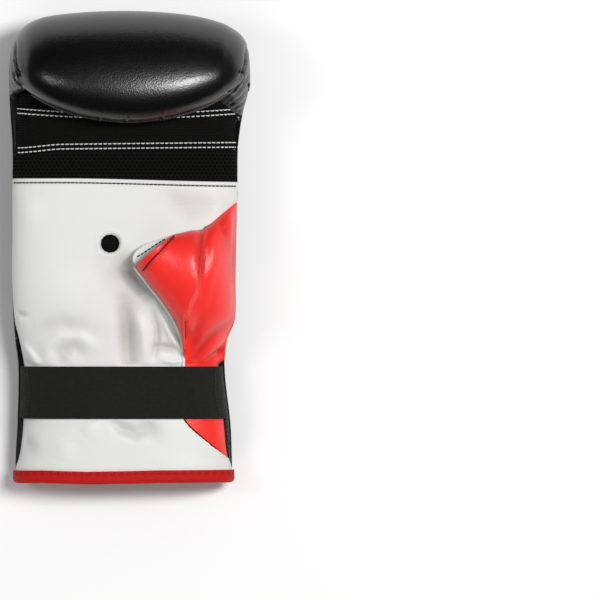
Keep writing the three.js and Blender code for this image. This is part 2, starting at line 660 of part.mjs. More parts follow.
// The hem's loop round the cuff, upper half over the palm and lower half under the back.
function hemPoint(turn, y) {
  const section = sectionAt(y);
  const angle = turn * 2 * HALF_TURN;
  const sine = Math.cos(angle);
  const upper = Math.sin(angle) >= 0;
  const far = upper ? section.crown : BINDING_OUT;
  const drop = domeDrop(sine, section.square);
  return new THREE.Vector3(section.centre + section.half * sine, y, mix(far, section.seam + GAP / 2, drop));
}

// The red tape folded round the hem.
function hemBinding() {
  const steps = 56;
  const slot = Math.max(PALM_WALL, CUFF_HEM_WALL) + GAP;
  const [out, inside] = [GAP + BINDING_WALL, slot + BINDING_WALL];
  // The tape's own section: how far along the glove and how far out from the wall it covers.
  const tape = [
    { along: BINDING_DEPTH, off: out },
    { along: 0, off: out },
    { along: 0, off: -inside },
    { along: BINDING_DEPTH, off: -inside },
    { along: BINDING_DEPTH, off: -slot },
    { along: BINDING_WALL, off: -slot },
    { along: BINDING_WALL, off: GAP },
    { along: BINDING_DEPTH, off: GAP },
  ];
  const positions = [];
  for (let i = 0; i < steps; i += 1) {
    const ahead = hemPoint((i + 0.5) / steps, 0);
    const behind = hemPoint((i - 0.5) / steps, 0);
    const outward = new THREE.Vector3(ahead.z - behind.z, 0, behind.x - ahead.x).normalize();
    for (const corner of tape) {
      const place = hemPoint(i / steps, corner.along).addScaledVector(outward, corner.off);
      positions.push(place.x, corner.along, place.z);
    }
  }
  const index = [];
  for (let i = 0; i < steps; i += 1) {
    const [from, to] = [i * tape.length, ((i + 1) % steps) * tape.length];
    for (let k = 0; k < tape.length; k += 1) {
      const next = (k + 1) % tape.length;
      index.push(from + k, to + k, to + next, from + k, to + next, from + next);
    }
  }
  return geometryFrom(positions, index);
}

// Finishes
const leather = (color, roughness) => new THREE.MeshStandardMaterial({ color, roughness, metalness: 0 });
const BLACK_LEATHER = leather(0x17171a, 0.4);
const WHITE_LEATHER = leather(0xe9e9e4, 0.5);
const RED_LEATHER = leather(0xe0241f, 0.42);
const BLACK_MESH = leather(0x1b1a18, 0.85);
const BLACK_ELASTIC = leather(0x24241f, 0.9);
const RED_TAPE = leather(0xd0201f, 0.55);

const kit = await solidKit();
const pieces = [
  ['back_pad', backPad(), BLACK_LEATHER],
  ['cuff_back', cuffBack(), BLACK_LEATHER],
  ['palm_panel', palmPanel(kit), WHITE_LEATHER],
  ['vent_mesh', ventMesh(), BLACK_MESH],
  ['lower_mesh', meshBand(PALM_TOP, GRIP_START, 3), BLACK_MESH],
  ['grip_band', meshBand(GRIP_START, GRIP_END, 3), BLACK_MESH],
  ['finger_mesh', meshBand(GRIP_END, FINGER_MESH_END, 2), BLACK_MESH],
  ['thumb_outer', thumbOuter(), RED_LEATHER],
  ['thumb_inner', thumbInner(), WHITE_LEATHER],
  ['wrist_strap', wristStrap(), BLACK_ELASTIC],
  ['hem_binding', hemBinding(), RED_TAPE],
];

const glove = new THREE.Group();
for (const [name, geometry, material] of pieces) {
  const mesh = new THREE.Mesh(geometry, material);
  mesh.name = name;
  glove.add(mesh);
}
glove.position.y = -GLOVE_LENGTH / 2;

export default glove;
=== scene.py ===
# %% [markdown]
# # A padded bag glove
#
# The glove lies on its back with the palm up. Its hard black back curls over the fingers as a thick roll,
# black mesh crosses the grip, and white leather covers the palm. A red leather thumb crosses the palm,
# an elastic strap crosses the wrist, and red tape binds the hem.
#
# The solid model comes in first, as the frame that every piece here is built around.

import math

import bmesh
import bpy
import numpy as np
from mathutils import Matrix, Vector


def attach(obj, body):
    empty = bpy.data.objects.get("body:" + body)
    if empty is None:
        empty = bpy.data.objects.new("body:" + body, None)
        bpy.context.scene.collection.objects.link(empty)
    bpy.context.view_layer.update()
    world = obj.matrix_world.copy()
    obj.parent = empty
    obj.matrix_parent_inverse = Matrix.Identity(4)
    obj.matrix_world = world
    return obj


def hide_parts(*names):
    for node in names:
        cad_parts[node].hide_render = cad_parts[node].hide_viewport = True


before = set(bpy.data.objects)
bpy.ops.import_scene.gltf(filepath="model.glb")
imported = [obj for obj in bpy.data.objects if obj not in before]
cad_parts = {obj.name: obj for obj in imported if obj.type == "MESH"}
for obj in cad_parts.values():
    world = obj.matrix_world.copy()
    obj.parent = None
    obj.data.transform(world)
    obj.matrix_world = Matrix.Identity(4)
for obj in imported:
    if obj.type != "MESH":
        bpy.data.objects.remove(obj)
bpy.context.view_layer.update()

# %% [markdown]
# ## Sizes
#
# A maker works in millimetres from the hem, so the shapes below do too. When a piece is made, one function
# turns them into Blender's metres, with the middle of the glove over the origin.

# %% Sizes of the glove
MM = 0.001
GLOVE_LENGTH = 275.0
HALF_WIDTH = 70.0
FIST_HEIGHT = 93.0
CURL_RADIUS = FIST_HEIGHT / 2
CURL_CENTRE = GLOVE_LENGTH - CURL_RADIUS
CUFF_LENGTH = 85.0
ROLL_THICKNESS = 28.0
ROLL_NOSE = 0.62
BACK_THICKNESS = 17.0
TAIL_THICKNESS = 10.0
RIM_SHOWING = 3.4
WALL = 2.0
GAP = 0.35
LOWER_MESH_START = 178.0
FINGER_MESH_END = 226.0
STRAP_START = 38.5
STRAP_WIDTH = 30.0
STRAP_END = STRAP_START + STRAP_WIDTH
STRAP_WALL = 1.6
BINDING_DEPTH = 7.5
BINDING_WALL = 1.0
QUARTER = math.pi / 2


def metres(points):
    placed = np.array(points, dtype=float)
    placed[..., 1] -= GLOVE_LENGTH / 2
    return placed * MM


def mix(start, end, share):
    return start + (end - start) * share


def ease(share):
    """A soft start and a soft stop between 0 and 1."""
    share = np.clip(share, 0, 1)
    return share * share * (3 - 2 * share)


def bump_at(distance, reach):
    """A smooth hump that is 1 at the place itself and fades out over the reach."""
    return np.exp(-((distance / reach) ** 2))


def together(*parts):
    """Points or directions from their parts, stretched to the same net."""
    return np.stack(np.broadcast_arrays(*parts), axis=-1)


def unit(vectors):
    """The same directions, each with a length of 1."""
    return vectors / np.maximum(np.linalg.norm(vectors, axis=-1, keepdims=True), 1e-12)


def travelled(points):
    """How far along a line of points each one lies."""
    return np.concatenate([[0], np.cumsum(np.linalg.norm(np.diff(points, axis=0), axis=1))])


def travelled_across(net):
    return np.cumsum(np.linalg.norm(np.diff(net, axis=1, prepend=net[:, :1]), axis=-1), axis=1)


# %% [markdown]
# ## The outline
#
# The glove's outline is a table of sections across it, the way a pattern maker notes widths at marks
# along a tape. A smooth curve through each column gives the size at any place between the marks.

# %% Sections across the glove
# All as shares of the glove's own length, width and height, but square, the power of the arch's curve, and
# rim, how much of the pad's rim shows beside the palm
SECTIONS = {
    "at": [0.0, 0.03, 0.065, 0.127, 0.247, 0.305, 0.349, 0.433, 0.549, 0.64, 0.716, 0.789, 0.831, 0.9],
    "centre": [-0.027, -0.027, -0.027, -0.026, -0.036, -0.037, -0.024, -0.025, -0.022, -0.02, -0.019,
               -0.013, -0.004, 0.0],
    "width": [0.903, 0.901, 0.898, 0.886, 0.857, 0.879, 0.919, 0.926, 0.929, 0.933, 0.936, 0.966, 0.991, 1.0],
    "seam": [0.18, 0.184, 0.188, 0.2, 0.23, 0.28, 0.32, 0.36, 0.39, 0.405, 0.41, 0.43, 0.45, 0.45],
    "crown": [0.42, 0.425, 0.43, 0.44, 0.44, 0.465, 0.495, 0.53, 0.55, 0.55, 0.575, 0.65, 0.685, 0.69],
    "square": [3.0, 3.0, 3.0, 3.0, 3.2, 3.6, 4.2, 5.0, 5.5, 5.5, 5.5, 6.0, 6.0, 6.0],
    "rim": [0.0, 0.0, 0.7, 1.0, 1.0, 0.7, 0.2, 0.0, 0.0, 0.0, 0.5, 1.2, 1.7, 1.7],
}


def curve_through(table, name, at):
    """A smooth curve through the marks of one column, with no more than a straight line beyond them."""
    marks, values = np.array(table["at"]), np.array(table[name])
    count = len(marks)
    before, after = np.maximum(np.arange(count) - 1, 0), np.minimum(np.arange(count) + 1, count - 1)
    slope = (values[after] - values[before]) / (marks[after] - marks[before])
    i = np.clip(np.searchsorted(marks, at, side="right") - 1, 0, count - 2)
    span = marks[i + 1] - marks[i]
    t = np.clip((at - marks[i]) / span, 0, 1)
    level = (2 * t**3 - 3 * t**2 + 1) * values[i] + (3 * t**2 - 2 * t**3) * values[i + 1]
    return level + span * ((t**3 - 2 * t**2 + t) * slope[i] + (t**3 - t**2) * slope[i + 1])


class Section:
    """The sizes across the glove at a distance from the hem."""

    def __init__(self, y):
        at = np.asarray(y, dtype=float) / GLOVE_LENGTH
        self.centre = curve_through(SECTIONS, "centre", at) * 2 * HALF_WIDTH
        self.half = curve_through(SECTIONS, "width", at) * HALF_WIDTH
        self.palm_half = self.half - curve_through(SECTIONS, "rim", at) * RIM_SHOWING
        self.seam = curve_through(SECTIONS, "seam", at) * FIST_HEIGHT
        self.crown = curve_through(SECTIONS, "crown", at) * FIST_HEIGHT
        self.square = curve_through(SECTIONS, "square", at)


def dome_drop(share, square):
    """How far an arch falls from its middle, 0, to its side, 1; a higher power makes it squarer."""
    return 1 - np.sqrt(np.maximum(0, 1 - np.abs(share) ** square))


def dome_height(x, y):
    s = Section(y)
    share = np.clip((x - s.centre) / s.palm_half, -1, 1)
    return mix(s.crown, s.seam + GAP, dome_drop(share, s.square))


print("width at the knuckles in mm:", round(float(2 * Section(CURL_CENTRE).half), 1))

# %% [markdown]
# ## From rows of points to a sewn panel
#
# Each panel of the glove is a thin wall. Its outer face is a net of points in rows and columns, and its
# inner face is the same net moved inwards. Joining the two with a rounded rim gives a closed piece that
# catches the light along its edges, as cut leather does. A plain box with a modifier couldn't follow
# these outlines.


# %% Panels
def normals_of(net):
    along = np.gradient(net, axis=0)
    across = np.gradient(net, axis=1)
    return unit(np.cross(across, along))


def inwards(net, distance, square=False):
    normal = normals_of(net)
    if square:
        normal[..., 1] = 0
        normal = unit(normal)
    return net - normal * np.broadcast_to(distance, net.shape[:2])[..., None]


def level_sides(inner, outer):
    inner[:, 0, 2] = outer[:, 0, 2]
    inner[:, -1, 2] = outer[:, -1, 2]
    return inner


def net_faces(rows, columns, start=0, close_rows=False, close_columns=False):
    """The four-cornered faces between rows and columns of points."""
    i = np.arange(rows if close_rows else rows - 1)
    j = np.arange(columns if close_columns else columns - 1)
    i, j = np.meshgrid(i, j, indexing="ij")
    down, right = (i + 1) % rows, (j + 1) % columns
    corners = [i * columns + j, i * columns + right, down * columns + right, down * columns + j]
    return start + np.stack(corners, axis=-1).reshape(-1, 4)


def piece(name, points, faces, finishes, material_of=None, crease=None, uv=None):
    """A finished object, with the creases and the cloth's own coordinates where it has them."""
    mesh = bpy.data.meshes.new(name)
    mesh.from_pydata(metres(points).tolist(), [], [list(f) for f in faces])
    for finish in finishes:
        mesh.materials.append(finish)
    if material_of is not None:
        mesh.polygons.foreach_set("material_index", np.asarray(material_of, dtype=np.int32))
    if crease is not None:
        mesh.attributes.new("crease", "FLOAT", "POINT").data.foreach_set("value", crease.astype(np.float32))
    if uv is not None:
        corner = np.empty(len(mesh.loops), dtype=np.int32)
        mesh.loops.foreach_get("vertex_index", corner)
        mesh.uv_layers.new(name="cloth").data.foreach_set("uv", uv[corner].astype(np.float32).ravel())
    mesh.polygons.foreach_set("use_smooth", np.ones(len(mesh.polygons), dtype=bool))
    mesh.update()
    made = bpy.data.objects.new(name, mesh)
    bpy.context.scene.collection.objects.link(made)
    print(name, "faces:", len(mesh.polygons))
    return made


def panel(name, outer, inner, finishes, bulge=0.3, crease=None, uv=None, rim=4):
    """A closed wall between two nets; a second finish is for the inner face."""
    rows, columns = outer.shape[:2]
    edge = [(0, j) for j in range(columns)] + [(i, columns - 1) for i in range(1, rows)]
    edge += [(rows - 1, j) for j in range(columns - 2, -1, -1)] + [(i, 0) for i in range(rows - 2, 0, -1)]
    ei, ej = np.array(edge).T
    ni, nj = np.clip(ei, 1, rows - 2), np.clip(ej, 1, columns - 2)
    start, end = outer[ei, ej], inner[ei, ej]
    away = unit(start - outer[ni, nj] + end - inner[ni, nj])
    loops = [mix(start, end, k / rim) + away * bulge * math.sin(math.pi * k / rim) for k in range(1, rim)]
    points = np.concatenate([outer.reshape(-1, 3), inner.reshape(-1, 3), *loops])
    each = rows * columns
    ring = [ei * columns + ej] + [2 * each + k * len(ei) + np.arange(len(ei)) for k in range(rim - 1)]
    ring.append(each + ei * columns + ej)
    outer_faces = net_faces(rows, columns)
    inner_faces = net_faces(rows, columns, each)[:, ::-1]
    rims = [np.stack([np.roll(a, -1), a, b, np.roll(b, -1)], axis=-1) for a, b in zip(ring, ring[1:])]
    faces = np.concatenate([outer_faces, *rims, inner_faces])
    kinds = np.zeros(len(faces), dtype=int)
    if len(finishes) > 1:
        kinds[-len(inner_faces):] = 1
    rest = len(points) - each
    if crease is not None:
        crease = np.concatenate([crease.ravel(), np.zeros(rest)])
    if uv is not None:
        flat = uv.reshape(-1, 2)
        uv = np.concatenate([flat, flat, *[flat[ei * columns + ej]] * (rim - 1)])
    return piece(name, points, faces, finishes, kinds, crease, uv)


# %% [markdown]
# ## Creases and folds
#
# A fold in soft leather runs along a line and fades out at its ends. Each one here is a stroke: a line of
# a few points, how wide it is, and how far the leather rises or sinks along it. Adding many soft strokes
# gives the same look as pulling them with a sculpt brush, but it comes out the same on every run.


# %% Strokes
def nearest_on(line, x, y):
    """How far each place is from a line of points, and how far along the line that is, from 0 to 1."""
    line = np.asarray(line, dtype=float)
    lengths = np.linalg.norm(np.diff(line, axis=0), axis=1)
    begins = np.concatenate([[0], np.cumsum(lengths)]) / lengths.sum()
    best = np.full(np.shape(x), np.inf)
    along = np.zeros(np.shape(x))
    for k, (start, end) in enumerate(zip(line, line[1:])):
        way = end - start
        t = np.clip(((x - start[0]) * way[0] + (y - start[1]) * way[1]) / (way @ way), 0, 1)
        off = np.hypot(x - start[0] - way[0] * t, y - start[1] - way[1] * t)
        closer = off < best
        best = np.where(closer, off, best)
        along = np.where(closer, mix(begins[k], begins[k + 1], t), along)
    return best, along


def strokes(table, x, y):
    """The rise of all the strokes at each place."""
    rise = np.zeros(np.shape(x))
    for line, wide, high in table:
        off, along = nearest_on(line, x, y)
        fade = np.sin(np.pi * np.clip(0.06 + 0.88 * along, 0, 1)) ** 0.7
        rise += high * bump_at(off, wide) * fade
    return rise


# %% [markdown]
# ## Cords and threads
#
# Piping, welts and stitches are all round in section. A curve object with a bevel could make them, but
# its rings turn as they like. Here every ring of points starts on the side that faces out of the leather,
# so a stitch stays upright all the way.

# %% A tube along a path
def tube(path, radius, normal, sides=8):
    """Rings of points round a path, with the first one over the normal."""
    path, normal = np.asarray(path, float), np.asarray(normal, float)
    way = unit(np.gradient(path, axis=-2))
    side = unit(np.cross(way, normal))
    up = np.cross(side, way)
    angles = np.arange(sides) * 2 * math.pi / sides
    ring = up[..., None, :] * np.cos(angles)[:, None] + side[..., None, :] * np.sin(angles)[:, None]
    return path[..., None, :] + ring * np.broadcast_to(radius, path.shape[:-1])[..., None, None]


def cord(name, path, radius, normal, sides, finish):
    """A piece that is one long tube."""
    rings = tube(path, radius, np.broadcast_to(normal, path.shape), sides)
    return piece(name, rings.reshape(-1, 3), net_faces(len(path), sides, close_columns=True), [finish])


# %% [markdown]
# ## Leather grain
#
# Glove leather has a fine pebbled grain, with flat cells between tiny valleys, and a softer unevenness
# under it. One node group makes both from the object's own coordinates, and every leather in the glove
# uses it with its own cell size. It gives out only a height and a mottle, and each material decides what
# to do with them.


# %% Node group helpers
def node_group(name, inputs, outputs):
    tree = bpy.data.node_groups.new(name, "ShaderNodeTree")
    for label, kind, value in inputs:
        socket = tree.interface.new_socket(name=label, in_out="INPUT", socket_type="NodeSocket" + kind)
        if value is not None:
            socket.default_value = value
    for label, kind in outputs:
        tree.interface.new_socket(name=label, in_out="OUTPUT", socket_type="NodeSocket" + kind)
    return tree, tree.nodes.new("NodeGroupInput"), tree.nodes.new("NodeGroupOutput")


def connect(tree, target, source):
    """Joins a socket to a source, which is another socket or a plain value."""
    if isinstance(source, bpy.types.NodeSocket):
        tree.links.new(source, target)
    else:
        target.default_value = source


def maths(tree, operation, *values):
    node = tree.nodes.new("ShaderNodeMath")
    node.operation = operation
    for socket, value in zip(node.inputs, values):
        connect(tree, socket, value)
    return node.outputs[0]


def noise(tree, vector, scale, detail=2.0, rough=0.5):
    node = tree.nodes.new("ShaderNodeTexNoise")
    node.inputs["Scale"].default_value = scale
    node.inputs["Detail"].default_value = detail
    node.inputs["Roughness"].default_value = rough
    connect(tree, node.inputs["Vector"], vector)
    return node.outputs["Fac"]


def times(tree, first, second):
    return maths(tree, "MULTIPLY", first, second)


def plus(tree, first, second):
    return maths(tree, "ADD", first, second)


def blend_colours(tree, share, first, second):
    node = tree.nodes.new("ShaderNodeMix")
    node.data_type = "RGBA"
    connect(tree, node.inputs[0], share)
    connect(tree, node.inputs[6], first)
    connect(tree, node.inputs[7], second)
    return node.outputs[2]


def use_group(tree, group, **sources):
    """Places a node group in a material and feeds its sockets, named with _ for a space."""
    node = tree.nodes.new("ShaderNodeGroup")
    node.node_tree = group
    for label, source in sources.items():
        connect(tree, node.inputs[label.replace("_", " ")], source)
    return node.outputs


def new_material(name):
    made = bpy.data.materials.new(name)
    made.use_nodes = True
    return made, made.node_tree, made.node_tree.nodes["Principled BSDF"]


def object_place(tree):
    return tree.nodes.new("ShaderNodeTexCoord").outputs["Object"]


def crease_of(tree):
    """The number called crease that the panels carry at each point."""
    node = tree.nodes.new("ShaderNodeAttribute")
    node.attribute_name = "crease"
    return node.outputs["Fac"]


def add_bump(tree, shader, height, depth):
    bump = tree.nodes.new("ShaderNodeBump")
    bump.inputs["Strength"].default_value = 1.0
    bump.inputs["Distance"].default_value = depth
    connect(tree, bump.inputs["Height"], height)
    connect(tree, shader.inputs["Normal"], bump.outputs["Normal"])


# %% Leather grain group
def make_grain():
    tree, given, out = node_group(
        "leather grain",
        [("Coordinates", "Vector", None), ("Cells per metre", "Float", 1100.0)],
        [("Height", "Float"), ("Mottle", "Float")],
    )
    cells = tree.nodes.new("ShaderNodeTexVoronoi")
    cells.feature = "SMOOTH_F1"
    cells.inputs["Smoothness"].default_value = 0.6
    connect(tree, cells.inputs["Vector"], given.outputs["Coordinates"])
    connect(tree, cells.inputs["Scale"], given.outputs["Cells per metre"])
    soft = noise(tree, given.outputs["Coordinates"], 260, 4, 0.6)
    broad = noise(tree, given.outputs["Coordinates"], 38, 3, 0.55)
    connect(tree, out.inputs["Height"], plus(tree, times(tree, cells.outputs["Distance"], -0.6), soft))
    connect(tree, out.inputs["Mottle"], broad)
    return tree


GRAIN = make_grain()
print("sockets of the grain group:", [socket.name for socket in GRAIN.interface.items_tree])

# %% [markdown]
# ## Wear and painted shade
#
# Leather is painted darker in its folds, a painted shade for the shadow that falls there, and it is rubbed
# paler on the ridges beside them. The panels carry a number at each point, called crease, that says how deep
# in a fold the point is. This group turns it into a colour, so that every leather gets the same painted
# shade in its folds and is rubbed paler on its ridges in the same way.


# %% Wear and painted shade group
def make_rubbing_and_shade():
    tree, given, out = node_group(
        "rubbing and painted shade",
        [("Colour", "Color", (0.5, 0.5, 0.5, 1)), ("Painted shade", "Color", (0.1, 0.1, 0.1, 1)),
         ("Rubbed", "Color", (0.9, 0.9, 0.9, 1)), ("Crease", "Float", 0.0), ("Mottle", "Float", 0.5)],
        [("Colour", "Color")],
    )
    crease = given.outputs["Crease"]
    uneven = plus(tree, times(tree, given.outputs["Mottle"], 1.2), 0.4)
    # Painted shade: below zero the crease number mixes the colour towards the shade colour; above zero it
    # mixes towards the rubbed colour.
    low = times(tree, maths(tree, "MAXIMUM", times(tree, crease, -1.0), 0.0), uneven)
    high = times(tree, maths(tree, "MAXIMUM", crease, 0.0), uneven)
    shade_share = maths(tree, "MINIMUM", low, 1.0)
    shade_mixed = blend_colours(tree, shade_share, given.outputs["Colour"], given.outputs["Painted shade"])
    rubbed = blend_colours(tree, maths(tree, "MINIMUM", high, 1.0), shade_mixed, given.outputs["Rubbed"])
    connect(tree, out.inputs["Colour"], rubbed)
    return tree


RUBBING_AND_SHADE = make_rubbing_and_shade()

# %% [markdown]
# ## The printed lozenges
#
# The back carries a plain file of white lozenges, printed on the leather and growing towards the knuckles.
# The print has no thickness, so it is a mask worked out from the object's coordinates, like the grain.


# %% Lozenge group
# In metres, from the middle of the glove
LOZENGE_START = -0.036
LOZENGE_PITCH = 0.024
LOZENGE_MIDDLE = -0.033
LOZENGE_CEILING = 0.03
# The first one's size as a share of the largest there is room for, and how much each next one gains
LOZENGE_SIZE = 0.54
LOZENGE_GROWTH = 0.115
LOZENGE_COUNT = 5.0


def make_lozenges():
    tree, given, out = node_group("lozenge file", [("Coordinates", "Vector", None)], [("Mask", "Float")])
    parts = tree.nodes.new("ShaderNodeSeparateXYZ")
    connect(tree, parts.inputs[0], given.outputs["Coordinates"])
    x, y, z = parts.outputs
    place = maths(tree, "DIVIDE", maths(tree, "SUBTRACT", y, LOZENGE_START), LOZENGE_PITCH)
    cell = maths(tree, "FLOOR", place)
    size = plus(tree, times(tree, cell, LOZENGE_GROWTH), LOZENGE_SIZE)
    along = maths(tree, "ABSOLUTE", maths(tree, "SUBTRACT", maths(tree, "SUBTRACT", place, cell), 0.5))
    across = maths(tree, "ABSOLUTE", maths(tree, "SUBTRACT", x, LOZENGE_MIDDLE))
    reach = plus(tree, maths(tree, "DIVIDE", along, 0.46), maths(tree, "DIVIDE", across, 0.0085))
    inside = maths(tree, "LESS_THAN", reach, size)
    begun, ended = maths(tree, "GREATER_THAN", place, 0.0), maths(tree, "LESS_THAN", place, LOZENGE_COUNT)
    under = maths(tree, "LESS_THAN", z, LOZENGE_CEILING)
    connect(tree, out.inputs["Mask"], times(tree, times(tree, inside, under), times(tree, begun, ended)))
    return tree


LOZENGES = make_lozenges()
print("lozenges on the back:", int(LOZENGE_COUNT), "each", LOZENGE_PITCH / MM, "mm after the last")

# %% [markdown]
# ## The leathers
#
# The black, white and red leathers are the same skin with a different dye and gloss. The material takes
# the grain's height for its bump and varies its roughness with the mottle, so that highlights break up
# softly instead of sliding over it like plastic.


# %% Leather finish
def grey(level):
    return level, level, level


def leather(name, colour, painted_shade, rubbed, roughness, cells=1100.0, depth=0.00012, shine=0.5, uneven=0.12,
            printed=0.0):
    made, tree, shader = new_material(name)
    place = object_place(tree)
    grain = use_group(tree, GRAIN, Cells_per_metre=cells, Coordinates=place)
    # The second colour is the painted shade in the folds, and the third is the rubbed colour of the ridges.
    colours = {"Colour": (*colour, 1), "Painted shade": (*painted_shade, 1), "Rubbed": (*rubbed, 1)}
    rubbed_and_shaded = use_group(tree, RUBBING_AND_SHADE, Crease=crease_of(tree), Mottle=grain["Mottle"], **colours)
    marked = times(tree, use_group(tree, LOZENGES, Coordinates=place)["Mask"], printed)
    dyed = blend_colours(tree, marked, rubbed_and_shaded["Colour"], (*grey(0.78), 1))
    connect(tree, shader.inputs["Base Color"], dyed)
    gloss = times(tree, maths(tree, "SUBTRACT", grain["Mottle"], 0.5), uneven)
    connect(tree, shader.inputs["Roughness"], plus(tree, gloss, roughness))
    add_bump(tree, shader, grain["Height"], depth)
    shader.inputs["Specular IOR Level"].default_value = shine
    return made


# Each leather gets its dye, then the painted shade for its folds, then the rubbed colour of its ridges.
RUBBED_BLACK = (0.02, 0.02, 0.021)
BLACK_LEATHER = leather("black leather", (0.004, 0.004, 0.0043), grey(0.0015), RUBBED_BLACK, 0.33,
                        1150.0, 0.0001, shine=0.55, uneven=0.08)
PRINTED_LEATHER = leather("printed black leather", (0.0025, 0.0025, 0.0028), grey(0.001), RUBBED_BLACK, 0.3,
                          1150.0, 0.0001, shine=0.75, uneven=0.08, printed=1.0)
WHITE_LEATHER = leather("white leather", (0.71, 0.71, 0.68), (0.28, 0.26, 0.235), (0.84, 0.84, 0.82), 0.5,
                        1300.0, 0.00005, shine=0.35)
RED_LEATHER = leather("red leather", (0.90, 0.027, 0.021), (0.42, 0.008, 0.007), (0.98, 0.14, 0.11), 0.37,
                      1150.0, 0.00013)
LINING = leather("lining", RUBBED_BLACK, grey(0.01), grey(0.04), 0.8, 700.0)
PIPING = leather("dark piping", (0.03, 0.019, 0.017), grey(0.01), (0.05, 0.04, 0.04), 0.5, 1500.0, 0.00004)
print("leathers:", BLACK_LEATHER.name, WHITE_LEATHER.name, RED_LEATHER.name, LINING.name)

# %% [markdown]
# ## Woven finishes
#
# The strap is ribbed elastic and the hem is a woven tape. Both are rows of threads that pass over and
# under each other. The group makes that from the cloth's own coordinates, which the meshes carry in
# millimetres, so the ribs follow the cloth round its bends.


# %% Weave group
def make_weave():
    tree, given, out = node_group(
        "weave",
        [("Coordinates", "Vector", None), ("Rib", "Float", 1.0), ("Thread", "Float", 0.6)],
        [("Height", "Float"), ("Valley", "Float")],
    )
    parts = tree.nodes.new("ShaderNodeSeparateXYZ")
    connect(tree, parts.inputs[0], given.outputs["Coordinates"])
    rib = maths(tree, "DIVIDE", parts.outputs["Y"], given.outputs["Rib"])
    thread = maths(tree, "DIVIDE", parts.outputs["X"], given.outputs["Thread"])
    offset = times(tree, maths(tree, "FLOOR", rib), 0.5)
    across = maths(tree, "ABSOLUTE", maths(tree, "SINE", times(tree, rib, math.pi)))
    turned = times(tree, plus(tree, thread, offset), math.pi)
    along = maths(tree, "ABSOLUTE", maths(tree, "SINE", turned))
    height = times(tree, across, plus(tree, times(tree, along, 0.6), 0.4))
    connect(tree, out.inputs["Height"], height)
    connect(tree, out.inputs["Valley"], maths(tree, "SUBTRACT", 1.0, height))
    return tree


WEAVE = make_weave()


def woven(name, colour, valley_shade, roughness, rib, thread, depth, sheen=0.0, shine=0.3):
    made, tree, shader = new_material(name)
    cloth = tree.nodes.new("ShaderNodeUVMap")
    cloth.uv_map = "cloth"
    weave = use_group(tree, WEAVE, Rib=rib, Thread=thread, Coordinates=cloth.outputs["UV"])
    fuzz = noise(tree, object_place(tree), 420, 3, 0.6)
    # Painted shade between the threads: their valleys are darkened towards the valley colour.
    shade = times(tree, weave["Valley"], plus(tree, fuzz, 0.35))
    colours = blend_colours(tree, shade, (*colour, 1), (*valley_shade, 1))
    # Painted shade in the mesh's holes and the tape's puckers, darkened by the crease number.
    depth_share = maths(tree, "MAXIMUM", times(tree, crease_of(tree), -2.2), 0.0)
    sunk = maths(tree, "MINIMUM", depth_share, 1.0)
    connect(tree, shader.inputs["Base Color"], blend_colours(tree, sunk, colours, (*valley_shade, 1)))
    connect(tree, shader.inputs["Roughness"], plus(tree, times(tree, fuzz, 0.2), roughness))
    add_bump(tree, shader, weave["Height"], depth)
    shader.inputs["Sheen Weight"].default_value = sheen
    shader.inputs["Specular IOR Level"].default_value = shine
    return made


ELASTIC_RIB = 1.1
ELASTIC = woven("black elastic", (0.0115, 0.012, 0.0095), (0.004, 0.004, 0.0035), 0.8, ELASTIC_RIB, 0.8,
                0.0002, 0.05)
TAPE = woven("red tape", (0.62, 0.013, 0.011), (0.3, 0.005, 0.005), 0.45, 0.5, 0.5, 0.00008, shine=0.12)
MESH_CLOTH = woven("black mesh", (0.0065, 0.006, 0.0052), grey(0.0005), 0.8, 0.45, 0.45, 0.0001, shine=0.15)
print("woven finishes:", ELASTIC.name, TAPE.name, MESH_CLOTH.name)

# %% [markdown]
# ## Thread
#
# Sewing thread is two plies twisted together, with a low shine. The twist is too fine for geometry, so
# a wave across the stitch gives it.


# %% Thread finish
def thread(name, colour):
    made, tree, shader = new_material(name)
    twist = tree.nodes.new("ShaderNodeTexWave")
    twist.wave_type = "BANDS"
    twist.bands_direction = "DIAGONAL"
    twist.inputs["Scale"].default_value = 900
    connect(tree, twist.inputs["Vector"], object_place(tree))
    # Painted shade between the plies: the twist's bands are darkened.
    dark = tuple(part * 0.45 for part in colour)
    shade = times(tree, twist.outputs["Fac"], 0.6)
    connect(tree, shader.inputs["Base Color"], blend_colours(tree, shade, (*colour, 1), (*dark, 1)))
    connect(tree, shader.inputs["Roughness"], plus(tree, times(tree, shade, 0.3), 0.5))
    return made


WHITE_THREAD = thread("pale thread", (0.78, 0.78, 0.8))
BLACK_THREAD = thread("black thread", grey(0.012))
GREY_THREAD = thread("grey thread", (0.07, 0.07, 0.072))
RED_THREAD = thread("red thread", (0.22, 0.005, 0.005))
print("threads:", WHITE_THREAD.name, BLACK_THREAD.name, GREY_THREAD.name, RED_THREAD.name)

# %% [markdown]
# ## The palm's surface
#
# White leather is drawn over the palm. It is nearly flat in the middle and turns down at both sides. The
# strap and the thumb pull it into soft folds, which the strokes below follow one by one: the deep hollow
# beside the thumb's tip, the sharp crease at the end of the thumb's lower seam, and the slack above and
# below the strap.

